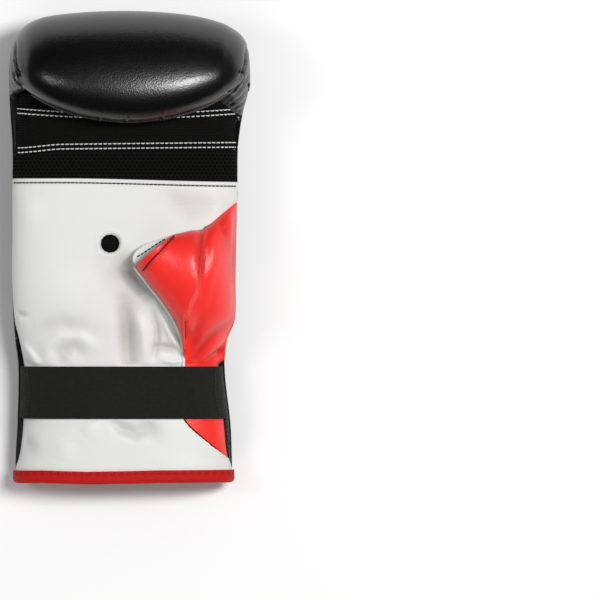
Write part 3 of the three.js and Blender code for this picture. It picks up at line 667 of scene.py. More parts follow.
# %% Folds of the palm
# The line of each fold in mm, from the middle and from the hem, how wide it is and how far it rises
PALM_STROKES = [
    ([(-69, 101.5), (-65, 99.5), (-60, 98.5)], 1.5, -1.9),
    ([(-69, 97), (-62, 95.5)], 2.6, 1.0),
    ([(-66, 83), (-60, 78), (-52, 68)], 2.4, 1.9),
    ([(-66, 76), (-60, 71), (-56, 67)], 1.8, -2.0),
    ([(-3.5, 106), (-2.0, 94), (-1.2, 82), (0.5, 66)], 4.6, -3.4),
    ([(5, 98), (8, 88), (9, 72)], 3.0, 1.6),
    ([(13, 100), (15.5, 92), (16, 84), (14, 74)], 1.7, -2.2),
    ([(19, 99), (23, 88), (29, 77)], 2.2, 2.0),
    ([(15, 80), (20, 80), (26, 79), (30, 76)], 2.0, -3.0),
    ([(18, 73), (25, 71), (31, 72)], 1.5, 1.2),
    ([(17, 104), (24, 92), (31, 80)], 1.3, -2.0),
    ([(-12, 128), (-5, 121), (3, 113), (9, 104)], 11.0, -2.2),
    ([(-4, 130), (3, 122), (10, 112)], 5.0, -4.2),
    ([(-48, 71), (-48, 80), (-41, 86), (-29, 86), (-20, 80)], 3.6, 1.3),
    ([(-40, 70), (-40, 77), (-33, 80), (-26, 75)], 4.2, -1.6),
    ([(-54, 92), (-40, 94), (-24, 90)], 6.0, -1.4),
    ([(-10, 38), (-5, 33), (3, 30), (10, 33)], 3.6, -2.0),
    ([(-20, 37), (-26, 28)], 5.0, 1.0),
    ([(8, 37), (16, 27)], 5.0, -1.2),
    ([(-50, 120), (-30, 100)], 16.0, 1.0),
    ([(-62, 30), (-56, 18)], 4.0, -1.2),
    ([(-40, 14), (-36, 26)], 6.0, 0.8),
    ([(20, 168), (34, 160), (50, 163)], 7.0, -1.2),
    ([(-60, 168), (-58, 150)], 8.0, 0.9),
]
FOLD_FADE = 8.0
FOLD_DEPTH = 1.3


def palm_rise(x, y):
    s = Section(y)
    off_strap = ease((y - STRAP_END) / 3) + ease((STRAP_START - y) / 3)
    off_side = ease((1 - np.abs(x - s.centre) / s.palm_half) / 0.05)
    off_ends = ease((LOWER_MESH_START - y) / FOLD_FADE) * ease((y - BINDING_DEPTH) / 5)
    return FOLD_DEPTH * strokes(PALM_STROKES, x, y) * off_strap * off_side * off_ends


def palm_height(x, y):
    return dome_height(x, y) + palm_rise(x, y)


# %% [markdown]
# ## The thumb's pattern
#
# The thumb is a flat pattern in plan: it starts along the glove's side, narrows past the crotch between
# thumb and palm, and ends at an open tip. Both of its seams are smooth curves through a few marks, and a
# patch between the four edges gives every place on the leather.

# %% Thumb pattern
THUMB_HEIGHT = 24.0
THUMB_TIP_HEIGHT = 15.0
THUMB_TIP_LIFT = 6.0
THUMB_WALL = 1.8
CROTCH = 0.42
ABOVE_STRAP = STRAP_END + 2


def side_of(y):
    s = Section(y)
    return s.centre + s.palm_half


def thumb_side(y):
    """The thumb's edge at the glove's side, which covers the rim just above the strap."""
    s = Section(y)
    return s.centre + s.palm_half + (s.half - s.palm_half + 0.2) * ease((y - 69) / 4) * ease((118 - y) / 10)


def side_share(along):
    return float(side_of(along * GLOVE_LENGTH)) / HALF_WIDTH


FINGER_SEAM = {
    "at": [0.0, 0.21, 0.42, 0.7, 1.0],
    "across": [side_share(0.598), 0.756, 0.62, 0.5, 0.364],
    "along": [0.598, 0.57, 0.541, 0.536, 0.528],
}
CUFF_SEAM = {
    "at": [0.0, 0.12, 0.18, 0.21, 0.3, 0.42, 0.55, 0.7, 0.85, 1.0],
    "across": [side_share(0.056), 0.576, 0.474, 0.444, 0.443, 0.455, 0.425, 0.322, 0.175, 0.049],
    "along": [0.056, 0.107, 0.132, 0.148, 0.198, 0.268, 0.32, 0.371, 0.42, 0.461],
}


def seam_place(table, at):
    at = np.asarray(at, dtype=float)
    x = curve_through(table, "across", at) * HALF_WIDTH
    return together(x, curve_through(table, "along", at) * GLOVE_LENGTH)


def thumb_plan(out, down):
    """A place in plan, out from the side, 0, to the tip, 1, and down from finger seam to cuff seam."""
    out, down = np.broadcast_arrays(np.asarray(out, dtype=float), np.asarray(down, dtype=float))
    share, d = np.clip(out, 0, 1)[..., None], down[..., None]
    start = mix(seam_place(FINGER_SEAM, 0), seam_place(CUFF_SEAM, 0), d)
    tip = mix(seam_place(FINGER_SEAM, 1), seam_place(CUFF_SEAM, 1), d)
    side = together(thumb_side(start[..., 1]), start[..., 1])
    ruled = mix(seam_place(FINGER_SEAM, out), seam_place(CUFF_SEAM, out), d)
    return ruled + mix(side, tip, share) - mix(start, tip, share)


def past_crotch(out):
    return ease((out - CROTCH) / (1 - CROTCH))


def thumb_lift(out):
    return THUMB_TIP_LIFT * past_crotch(out)


def seam_distance(table, plan):
    line = seam_place(table, np.linspace(0, 1, 41))
    return nearest_on(line, plan[..., 0], plan[..., 1])[0]


def thumb_arch(out, plan):
    low, top = seam_distance(CUFF_SEAM, plan), seam_distance(FINGER_SEAM, plan)
    across = low / (low + top)
    rise = np.sin(np.clip(out / CROTCH, 0, 1) * QUARTER) ** 0.8
    height = mix(THUMB_HEIGHT * rise, THUMB_TIP_HEIGHT, past_crotch(out))
    above = np.sin(np.clip((plan[..., 1] - ABOVE_STRAP) / 30, 0, 1) * QUARTER)
    return height * np.sqrt(4 * across * (1 - across)) * above


THUMB_STROKES = [
    ([(43.5, 148), (43, 135), (42, 120)], 4.5, -2.0),
    ([(48, 147), (50, 130), (47, 118)], 4.0, 1.0),
    ([(38, 70), (42, 80), (52, 90), (60, 96)], 2.4, -1.5),
    ([(40, 70), (48, 80), (58, 88)], 2.4, 1.2),
    ([(42, 70), (52, 77), (62, 82)], 2.2, -1.2),
    ([(46, 70), (56, 74)], 2.0, 0.9),
    ([(36, 71), (37, 85), (41, 100)], 3.0, -1.0),
    ([(33, 72), (33, 88), (36, 104)], 4.0, 0.8),
    ([(56, 150), (60, 132), (58, 118)], 3.0, -0.9),
    ([(52, 156), (56, 140)], 2.6, -0.7),
]


def thumb_point(out, down):
    """A place on the thumb's leather, and how steeply the leather stands there."""
    out, down = np.broadcast_arrays(np.asarray(out, dtype=float), np.asarray(down, dtype=float))
    plan = thumb_plan(out, down)
    x, y = plan[..., 0], plan[..., 1]
    arch = thumb_arch(out, plan)
    lap = ease((out - CROTCH + 0.08) / 0.08) * ease((y - ABOVE_STRAP - 1) / 6)
    over_lining = (3 * GAP + 2 * THUMB_WALL) * lap
    bulge = 3 * np.sin(np.clip(out / 0.3, 0, 1) * math.pi) * ease(arch / 8)
    height = dome_height(x, y) + over_lining + thumb_lift(out) + arch
    return together(x + bulge, y, height), ease(arch / 6)


def thumb_under(out, down):
    """A place on the thumb's leather, and the way out of it."""
    step = 0.002

    def at(a, b):
        return thumb_point(np.clip(a, 0, 1), np.clip(b, 0, 1))[0]

    across = at(out - step, down) - at(out + step, down)
    along = at(out, down - step) - at(out, down + step)
    normal = unit(np.cross(across, along))
    point, steep = thumb_point(out, down)
    return point, unit(mix(normal, np.array([0.0, 0.0, 1.0]), 1 - steep[..., None]))


print("thumb tip in mm:", np.round(seam_place(FINGER_SEAM, 1), 1), np.round(seam_place(CUFF_SEAM, 1), 1))

# %% [markdown]
# ## The palm panel
#
# The palm leather stops at the thumb's seams, so its right edge follows them. The vent is opened in the
# net itself: a few faces go, and the points around them slide outwards to a true circle, which leaves a
# clean round edge that a cut with a boolean wouldn't.

# %% Edges of the palm panel
HEM_MARKS = [-70, -50, -25, 0, 14, 65]
HEM_SHIFT = [0.7, 0.8, 0.1, 0.5, 0.9, 1.2]
VENT = np.array([-11.3, 140.0])
VENT_RADIUS = 5.4
# The panel's cut edges nearer the hem than this are turned in and show the lining
HIDDEN_EDGE = (50.0 - GLOVE_LENGTH / 2) * MM


def hem_shift(x):
    """How far the hem wanders from a straight line."""
    return np.interp(x, HEM_MARKS, HEM_SHIFT)


def near_hem(x, y):
    """The same for a panel, which is back in line a little way up the cuff."""
    return hem_shift(x) * ease((24 - y) / 22)


def beside_seam(table, y, turn):
    """The panel's edge just off one of the thumb's seams."""
    step = 0.005
    outs = np.arange(CROTCH, step / 2, -step)
    seam = seam_place(table, outs)
    way = unit(seam_place(table, outs - step) - seam)
    clearance = 2 * GAP * (1 + ease((outs - CROTCH + 0.12) / 0.08))
    seam = seam + together(-way[:, 1], way[:, 0]) * (clearance * turn)[:, None]
    reached = (y[:, None] - seam[None, :, 1]) * turn <= 0
    first = np.argmax(reached, axis=1)
    return np.where(reached.any(axis=1), seam[first, 0], np.inf)


def palm_edge(y):
    top, low = seam_place(FINGER_SEAM, CROTCH), seam_place(CUFF_SEAM, CROTCH)
    side = side_of(y)
    above = np.minimum(side, beside_seam(FINGER_SEAM, y, 1))
    below = np.minimum(side, beside_seam(CUFF_SEAM, y, -1))
    between = mix(low[0], top[0], (y - low[1]) / (top[1] - low[1])) - 4 * GAP
    return np.where(y > top[1], above, np.where(y < low[1], below, between))


def palm_top(x):
    """The palm leather's top edge, which sags a little to the thumb side."""
    return LOWER_MESH_START - 0.4 - 2.0 * ease((x + 40) / 105)


def palm_net(rows, columns):
    y = np.linspace(BINDING_WALL + GAP, LOWER_MESH_START, rows)
    s = Section(y)
    right = np.arcsin(np.clip((palm_edge(y) - s.centre) / s.palm_half, -1, 1)) / QUARTER
    lanes = mix(-1.0, right[:, None], np.linspace(0, 1, columns)[None, :])
    x = s.centre[:, None] + s.palm_half[:, None] * np.sin(lanes * QUARTER)
    y = np.broadcast_to(y[:, None], x.shape).copy()
    y -= (LOWER_MESH_START - palm_top(x)) * ease((y - 130) / 48)
    y += near_hem(x, y)
    return x, y


print("vent in mm:", VENT, "radius:", VENT_RADIUS)


# %% Hole for the vent
def from_vent(x, y):
    return np.hypot(x - VENT[0], y - VENT[1])


def centre_on_vent(x, y):
    """Slides the net so that one of its points is the vent's centre."""
    i, j = np.unravel_index(np.argmin(from_vent(x, y)), x.shape)
    x = x - (x[i, j] - VENT[0]) * bump_at(from_vent(x, y), 30)
    y = y - (y[i, j] - VENT[1]) * bump_at(from_vent(x, y), 30)
    return x, y, i, j


def open_vent(x, y):
    """Slides the points round the vent outwards to leave room for the hole."""
    reach = 16.0
    away = np.maximum(from_vent(x, y), 1e-6)
    moved = np.where(away < reach, VENT_RADIUS + away * (reach - VENT_RADIUS) / reach, away)
    return VENT[0] + (x - VENT[0]) / away * moved, VENT[1] + (y - VENT[1]) / away * moved


def square_round(i, j, reach):
    """The places in the net round a square of faces, in order."""
    steps = range(-reach, reach)
    ring = [(i - reach, j + k) for k in steps] + [(i + k, j + reach) for k in steps]
    ring += [(i + reach, j - k) for k in steps] + [(i - k, j - reach) for k in steps]
    return np.array(ring).T


def round_off(x, y, ring):
    """Sets the points of the ring on a true circle."""
    off = unit(together(x[ring] - VENT[0], y[ring] - VENT[1])) * VENT_RADIUS
    x[ring], y[ring] = VENT[0] + off[:, 0], VENT[1] + off[:, 1]


def cut_vent(mesh, shape, hole, ring):
    """Takes the faces out of both walls, joins the two edges and lines the edge that is turned in."""
    work = bmesh.new()
    work.from_mesh(mesh)
    work.faces.ensure_lookup_table()
    work.verts.ensure_lookup_table()
    each = shape[0] * shape[1]
    wall_faces = (shape[0] - 1) * (shape[1] - 1)
    inner_start = len(work.faces) - wall_faces
    flat = np.flatnonzero(hole.ravel())
    doomed = [work.faces[k] for k in flat] + [work.faces[inner_start + k] for k in flat]
    loop = [(int(a * shape[1] + b), int(each + a * shape[1] + b)) for a, b in zip(*ring)]
    for face in work.faces[wall_faces:inner_start]:
        if face.calc_center_median().y < HIDDEN_EDGE:
            face.material_index = 1
    bmesh.ops.delete(work, geom=doomed, context="FACES_ONLY")
    for (a, b), (c, d) in zip(loop, loop[1:] + loop[:1]):
        face = work.faces.new([work.verts[k] for k in (a, c, d, b)])
        face.smooth = True
    loose = [v for v in work.verts if not v.link_faces]
    bmesh.ops.delete(work, geom=loose, context="VERTS")
    bmesh.ops.recalc_face_normals(work, faces=work.faces)
    work.to_mesh(mesh)
    work.free()


# %% Palm panel
def make_palm():
    shape = 210, 150
    x, y, i, j = centre_on_vent(*palm_net(*shape))
    block = 2
    hole = np.zeros((shape[0] - 1, shape[1] - 1), dtype=bool)
    hole[i - block:i + block, j - block:j + block] = True
    ring = tuple(square_round(i, j, block))
    x, y = open_vent(x, y)
    round_off(x, y, ring)
    outer = together(x, y, palm_height(x, y))
    past_rim = from_vent(x, y) - VENT_RADIUS
    rolled = ease(1 - past_rim / 1.6)
    outer[..., 2] -= 0.7 * rolled
    outer[..., 2] += 0.12 * bump_at(past_rim - 2.2, 1.0)
    outer[..., 2] -= 0.5 * bump_at(palm_top(x) - y - 2.6, 0.9)
    inner = level_sides(inwards(outer, WALL, square=True), outer)
    # The crease number paints shade into the palm's folds and round the vent's rolled rim, and makes the
    # ridges rubbed paler.
    crease = np.clip(palm_rise(x, y) * 0.13, -0.5, 0.1) - 0.05 * rolled
    made = panel("palm_leather", outer, inner, [WHITE_LEATHER, LINING], 0.3, crease)
    cut_vent(made.data, shape, hole, ring)
    return made


palm = make_palm()
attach(palm, "root")
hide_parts("palm_panel")

# %% [markdown]
# ## Mesh cloth
#
# The grip is spacer mesh, a knitted cloth with staggered holes that lets the hand breathe. The coarse
# mesh below and the fine mesh above differ only in the size of their holes. The holes are real dents in
# the net, deep enough to look black, so they stay when the light or the view moves, and they are also
# painted darker, as painted shade.


# %% Mesh bands
def dents(x, y, pitch, row, size, deep):
    """Staggered holes: from hole to hole, from row to row, how wide, and how deep in the middle."""
    line = np.round(y / row)
    shift = (line % 2) * pitch / 2
    off_x = x - shift - np.round((x - shift) / pitch) * pitch
    off_y = y - line * row
    return deep * np.exp(-((np.hypot(off_x, off_y * 1.15) / size) ** 4))


def palm_seam(x):
    return palm_top(x) + GAP


def grip_line(x):
    """The upper row of stitches below the grip, which falls away at the outer side."""
    return 198.0 + 0.011 * x - 1.8 * ease((-x - 38) / 27)


def grip_seam(x):
    return grip_line(x) - 3.9


def tip_seam(x):
    return 216.6 + 0.0007 * x**2


def roll_side(x):
    """The straight end of the mesh, out of sight under the roll."""
    return np.full(np.shape(x), FINGER_MESH_END + 1.0)


LAP_END = 214.0
LAP_FADE = 3.0


def mesh_reach(y, sine):
    """Places across the mesh, which laps over the pad's rim on the thumb side, just below the roll."""
    s = Section(y)
    lap = (s.half - s.palm_half - 0.2) * ease((y - 190) / 8) * ease((LAP_END - y) / LAP_FADE)
    return s.centre + (s.palm_half + np.where(sine > 0, lap, 0)) * sine


def lap_lift(y, sine):
    """How far the lap stands over the rim."""
    return 0.9 * ease((sine - 0.95) / 0.03) * ease((y - 192) / 4) * ease((LAP_END - y) / LAP_FADE)


def mesh_band(name, start, end, pitch, row, size, deep, step):
    """Makes a band between two seams, and gives its flat width and length in metres too."""
    usual = float(start(0.0)), float(end(0.0))
    rows = int((usual[1] - usual[0]) / step) + 1
    columns = int(2 * HALF_WIDTH * 1.08 / step)
    share = np.linspace(0, 1, rows)[:, None]
    lanes = np.linspace(-1, 1, columns)[None, :]
    lanes = np.sin(lanes * QUARTER) * 0.35 + lanes * 0.65
    sine = np.sin(lanes * QUARTER)
    s = Section(mix(*usual, share))
    x = s.centre + s.palm_half * sine
    y = mix(start(x) + GAP / 2, end(x) - GAP / 2, share)
    x = mesh_reach(y, sine)
    outer = together(x, y, dome_height(x, y) + lap_lift(y, sine))
    travel = travelled_across(outer)
    travel -= travel[:, columns // 2][:, None]
    sunk = dents(travel, y, pitch, row, size, deep)
    soft = 0.25 * np.sin(travel / 9.0 + y / 6.0) * np.sin(y / 4.3 + 1.0)
    edge = ease((1 - np.abs(lanes)) / 0.03)
    placed = outer - normals_of(outer) * ((sunk - soft) * edge)[..., None]
    inner = level_sides(inwards(outer, WALL, square=True), outer)
    uv = together(travel, y)
    # The dents' depth goes in as the crease number, which paints shade into the holes.
    made = panel(name, placed, inner, [MESH_CLOTH, LINING], 0.1, -sunk / deep * 0.5, uv)
    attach(made, "root")
    wide = float(travel[:, -1].mean() - travel[:, 0].mean()) * MM
    return made, wide, (usual[1] - usual[0]) * MM


coarse, coarse_wide, coarse_long = mesh_band("coarse_mesh", palm_seam, grip_seam, 2.6, 2.1, 0.8, 1.2, 0.4)
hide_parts("lower_mesh")
grip, grip_wide, grip_long = mesh_band("grip_mesh", grip_seam, tip_seam, 1.8, 1.5, 0.5, 0.6, 0.4)
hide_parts("grip_band")
tips, tips_wide, tips_long = mesh_band("fingertip_mesh", tip_seam, roll_side, 2.2, 1.8, 0.5, 0.8, 0.42)
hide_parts("finger_mesh")
print("coarse mesh, flat width and length in m:", coarse_wide, coarse_long)
print("grip mesh:", grip_wide, grip_long, "fingertip mesh:", tips_wide, tips_long)

# %% [markdown]
# ## The vent's mesh
#
# Behind the vent lies a small square of the same mesh, so the hole looks black but isn't empty.


# %% Vent mesh
def make_vent_mesh():
    reach = VENT_RADIUS + 3
    side = np.linspace(-reach, reach, 44)
    x, y = np.meshgrid(VENT[0] + side, VENT[1] + side)
    outer = together(x, y, palm_height(x, y) - WALL - 3 * GAP)
    sunk = dents(x, y, 2.0, 1.7, 0.5, 0.5)
    inner = outer.copy()
    inner[..., 2] -= 0.9
    outer[..., 2] -= sunk
    # The holes' depth goes in as the crease number, which paints shade into them.
    made = panel("vent_patch", outer, inner, [MESH_CLOTH, LINING], 0.1, -sunk, together(x, y))
    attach(made, "root")
    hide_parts("vent_mesh")
    print("vent patch, width and length in mm:", 2 * reach)


make_vent_mesh()

# %% [markdown]
# ## The red thumb
#
# The thumb's leather springs up from both seams into an arch and lies flat where the strap holds it.
# Folds gather at the strap, where the leather is squeezed, and one long valley marks where the thumb
# leaves the hand.


# %% Thumb leather
def thumb_detail(points, out):
    x, y = points[..., 0], points[..., 1]
    rise = strokes(THUMB_STROKES, x, y) * ease((y - ABOVE_STRAP + 1) / 4)
    hem = 0.5 * bump_at((1 - out) * 40 - 2.2, 1.1)
    return rise, hem


def make_thumb():
    rows, columns = 150, 150
    flat_share = 1 / 3
    j = np.linspace(0, 1, columns)[None, :]
    i = np.linspace(0, 1, rows)[:, None]
    bend = 0.55
    sleeve = mix(1.0, CROTCH, j / bend)
    root = mix(CROTCH, 0.004, (j - bend) / (1 - bend))
    out = np.where(j <= bend, sleeve, root)
    top, low = thumb_plan(out, 0)[..., 1], thumb_plan(out, 1)[..., 1]
    flat = np.minimum((top - ABOVE_STRAP) / (top - low), 0.95)
    risen = (i - flat_share) / (1 - flat_share)
    down = np.where(i < flat_share, mix(1.0, flat, i / flat_share), flat * (1 + np.cos(risen * math.pi)) / 2)
    out = np.broadcast_to(out, down.shape)
    point, normal = thumb_under(out, down)
    rise, hem = thumb_detail(point, out)
    up = normals_of(point)
    edge = ease((1 - out) / 0.02) * ease(out / 0.03) * ease(i / 0.05) * ease((1 - i) / 0.03)
    outer = point + up * ((rise - hem) * edge)[..., None]
    inner = outer - normal * THUMB_WALL
    # The crease number paints shade into the thumb's folds and along the groove near its tip, and makes the
    # ridges rubbed paler.
    crease = np.clip(rise * 0.3, -0.6, 0.2) * edge - 0.3 * hem
    made = panel("thumb_leather", outer, inner, [RED_LEATHER, LINING], 0.35, crease)
    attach(made, "root")
    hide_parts("thumb_outer")


make_thumb()

# %% [markdown]
# ## The thumb's white lining
#
# Under the red leather lies a white one, and its lip shows past the open tip. It is a panel of its own,
# a leather's thickness below the red one, because a lip painted on the red edge would have no step.


# %% Thumb lining
def lip_place(out, down):
    """A place in the thumb's plan, which may also lie a little past the tip."""
    tip, before = thumb_plan(1.0, down), thumb_plan(0.96, down)
    past = tip + (tip - before) * ((out - 1) / 0.04)[..., None]
    return np.where((out > 1)[..., None], past, thumb_plan(np.minimum(out, 1), down))


def make_thumb_lining():
    rows, columns = 60, 60
    down = np.broadcast_to(np.linspace(0.97, 0.03, rows)[:, None], (rows, columns))
    reach = 1 + 4.4 / (2 * HALF_WIDTH * 0.3) * np.sin(down * math.pi) ** 0.45
    out = mix(reach, CROTCH + 0.09, np.linspace(0, 1, columns)[None, :])
    plan = lip_place(out, down)
    x, y = plan[..., 0], plan[..., 1]
    height = dome_height(x, y) + GAP + THUMB_WALL + thumb_lift(np.minimum(out, 1))
    outer = together(x, y, height)
    inner = inwards(outer, THUMB_WALL)
    made = panel("thumb_lining", outer, inner, [WHITE_LEATHER], 0.5)
    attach(made, "root")
    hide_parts("thumb_inner")


make_thumb_lining()

# %% [markdown]
# ## The padded back
#
# One thick pad of foam under black leather runs from the cuff over the knuckles and curls back above the
# fingers. A station is a place along that way, and a lane is a place across it. The leather is pulled
# round the ends of the roll into gathers, which bunch together towards its corners.

# %% Way round the pad
PAD_START = CUFF_LENGTH + GAP
TAIL_ROUND = TAIL_THICKNESS * 0.7
PAD_SIDE_WALL = 8.0
PAD_RIM = 1.5


def roll_end(share):
    """How far from the hem the roll's lower edge is, which bows up towards both of its ends."""
    return GLOVE_LENGTH - 64.6 + FIST_HEIGHT * 0.286 * np.abs(share * 1.03) ** 2.1


def curl_way(sine, radius):
    """The roll's thickness, how far round it bends, and the straight way after the bend."""
    thick = np.maximum(2, ROLL_THICKNESS * (1 - dome_drop(sine, 4)))
    nose_start = roll_end(sine) + ROLL_NOSE * thick
    past = np.clip((nose_start - CURL_CENTRE) / radius, 0, 0.9)
    return thick, math.pi - np.arcsin(past), np.maximum(0, CURL_CENTRE - nose_start)


PAD_ARCH = {
    "at": [-1.0, -0.936, -0.834, -0.678, -0.6, -0.48, -0.25, -0.05, 0.15, 0.34, 0.5, 0.607, 0.81,
           0.906, 1.0],
    "drop": [1.0, 0.7, 0.44, 0.222, 0.148, 0.078, 0.02, 0.0, 0.015, 0.062, 0.137, 0.207, 0.408,
             0.625, 1.0],
}


def pad_drop(sine):
    """How far the curled pad falls away from side to side: a slow bow in the middle and full corners."""
    return curve_through(PAD_ARCH, "drop", np.arcsin(np.clip(sine, -1, 1)) / QUARTER)


def along_way(bend, straight, radius, share, short_by=0.0):
    """A place on the way round the knuckles, the way out of it, and how much of half a turn is done."""
    arc = bend * radius
    distance = share * (arc + straight - short_by)
    angle = np.minimum(distance / radius, bend)
    past = np.maximum(0, distance - arc)
    out = together(0.0, np.sin(angle), -np.cos(angle))
    base = together(0.0, CURL_CENTRE - past, CURL_RADIUS)
    return base + out * radius[..., None], out, angle / math.pi


def follow_side(y):
    """How much narrower than at the curl's centre the glove is, further from the knuckles."""
    return np.where(y < CURL_CENTRE, Section(y).half / Section(CURL_CENTRE).half, 1.0)


def curl_half(turned):
    start = float(Section(CURL_CENTRE).half)
    return mix(start, HALF_WIDTH, ease(turned * 3)) - 0.04 * HALF_WIDTH * ease(turned * 2 - 1)


def floor_place(part, share):
    if part == "tail":
        return PAD_START + TAIL_ROUND * share
    return mix(PAD_START + TAIL_ROUND, CURL_CENTRE, share)


# %% Outer leather of the pad
CURL_SEAM = float(Section(CURL_CENTRE).seam)


def pad_outer(part, share, lane):
    """A row of places across the outer leather, at a share of the tail, back, curl or nose."""
    sine = np.sin(lane * QUARTER)
    if part in ("tail", "back"):
        y = floor_place(part, share)
        s = Section(y)
        towards_curl = ease((y - PAD_START) / (CURL_CENTRE - PAD_START))
        sink = 1.2 * ease((CURL_CENTRE - y) / CURL_RADIUS)
        rounding = TAIL_ROUND * float(dome_drop(1 - share, 2)) if part == "tail" else 0.0
        floor = s.seam * mix(dome_drop(sine, 3), pad_drop(sine), towards_curl)
        height = np.maximum(0, floor - sink * (1 - np.abs(sine) ** 8)) + rounding * (1 - floor / s.seam)
        return together(s.centre + s.half * sine, y, height)
    depth = CURL_SEAM * pad_drop(sine)
    radius = CURL_RADIUS - depth
    thick, bend, straight = curl_way(sine, radius)
    place, out, turned = along_way(bend, straight, radius, share if part == "curl" else 1.0)
    place[..., 0] = curl_half(turned) * sine * follow_side(place[..., 1])
    if part == "curl":
        return place
    angle = share * math.pi
    onward = together(0.0, out[..., 2], -out[..., 1]) * -(ROLL_NOSE * thick)[:, None]
    return place + out * (-thick / 2 * (1 - math.cos(angle)))[:, None] + onward * math.sin(angle)


def pad_inner(part, share, lane):
    """The same for the lining inside."""
    sine = np.sin(lane * QUARTER)
    if part in ("tail", "back"):
        y = floor_place(part, share)
        s = Section(y)
        thick = mix(TAIL_THICKNESS, BACK_THICKNESS, ease((y - PAD_START) / CUFF_LENGTH))
        height = mix(thick, s.seam, dome_drop(sine, 4))
        return together(s.centre + (s.half - PAD_SIDE_WALL) * sine, y, height)
    passed = share * 0.96 if part == "curl" else 0.96 + share * 0.04
    thick = mix(BACK_THICKNESS, ROLL_THICKNESS, ease(passed * 2))
    depth = mix(thick, CURL_SEAM, dome_drop(sine, 4))
    _, bend, straight = curl_way(sine, CURL_RADIUS - CURL_SEAM * pad_drop(sine))
    radius = CURL_RADIUS - depth
    place, _, turned = along_way(bend, straight, radius, passed, PAD_RIM)
    place[..., 0] = (curl_half(turned) * follow_side(place[..., 1]) - PAD_SIDE_WALL) * sine
    return place


# %% [markdown]
# The leather is drawn in round the roll's corners, so sharp creases run up both of its ends. Each crease
# is a narrow groove with a low puff along it. The thumb side has finer wrinkles too, where the end gusset
# is sewn in.

# %% Creases of the roll
# Lines in mm, from the middle and from the hem; each wrinkle has its width and rise too
ROLL_CREASES = [
    [(-65.8, 256.5), (-66.1, 249.0), (-65.1, 242.7), (-63.0, 236.3), (-59.2, 232.0), (-55.5, 229.0)],
    [(-68.8, 247.1), (-67.7, 240.7), (-65.6, 234.3), (-61.3, 229.9)],
    [(67.6, 254.0), (67.2, 243.7), (65.0, 237.3), (61.8, 232.0), (57.6, 228.8)],
]
END_WRINKLES = [
    ([(53.6, 222.7), (60.6, 227.9), (64.6, 233.7), (66.9, 239.5)], 0.8, -1.3),
    ([(55.9, 221.6), (62.9, 226.8), (66.9, 232.6), (68.7, 237.2)], 0.8, -1.1),
    ([(58.2, 220.4), (64.6, 224.5), (68.1, 229.1)], 0.7, -1.0),
    ([(60.0, 218.2), (65.8, 221.1), (68.1, 225.0)], 0.7, -0.9),
    ([(57.0, 217.4), (63.0, 216.6), (66.5, 219.0)], 0.7, -0.6),
    ([(-68.4, 236.0), (-66.6, 231.5), (-62.5, 229.3)], 0.7, -0.9),
    ([(-69.0, 231.0), (-67.0, 228.0), (-64.5, 226.8)], 0.7, -0.7),
]


def drawn_in(x, y):
    """The rise of the leather round the roll's ends."""
    puffs = strokes([(line, 2.6, 0.4) for line in ROLL_CREASES], x, y)
    grooves = strokes([(line, 0.75, -2.6) for line in ROLL_CREASES], x, y)
    return puffs + grooves + 0.75 * strokes(END_WRINKLES, x, y)


# %% Tucks and pleats
# Where the tucks in the roll's lower edge are, in mm from the middle, and how high they stand
TUCKS = [(-16.2, 2.4), (-1.0, 2.0), (20.0, 2.6), (34.0, 0.7), (-30.0, 0.8)]


def end_pleats(turned, sine):
    """Fine pleats where the leather goes round the knuckles' ends, deeper on the thumb side."""
    wave = np.maximum(0, np.cos(2 * math.pi * turned / 0.036)) ** 2
    shown = ease((turned - 0.03) / 0.08) * ease((0.5 - turned) / 0.08) * (1 - np.abs(sine) ** 80)
    thumb = 0.7 * ease((sine - 0.7) / 0.2)
    return wave * shown * (thumb + 0.25 * ease((-sine - 0.8) / 0.15))


def spread_lanes(count):
    """Lanes across the pad, close together at the sides where the gathers are."""
    fine = np.linspace(-1, 1, 4001)
    density = 1 + 4.0 * ease((np.abs(fine) - 0.5) / 0.15)
    for x, _ in TUCKS[:3]:
        density += 7.0 * bump_at(HALF_WIDTH * 0.96 * np.sin(fine * QUARTER) - x, 2.2)
    travel = np.cumsum(density)
    travel = (travel - travel[0]) / (travel[-1] - travel[0])
    return np.interp(np.linspace(0, 1, count), travel, fine)


def pad_stations():
    tail = [("tail", share) for share in np.linspace(0, 1, 8)]
    back = [("back", share) for share in np.linspace(0, 1, 58)[1:]]
    curl = [("curl", share) for share in np.linspace(0, 1, 112)[1:]]
    nose = [("nose", share) for share in np.linspace(0, 1, 15)[1:]]
    return tail + back + curl + nose


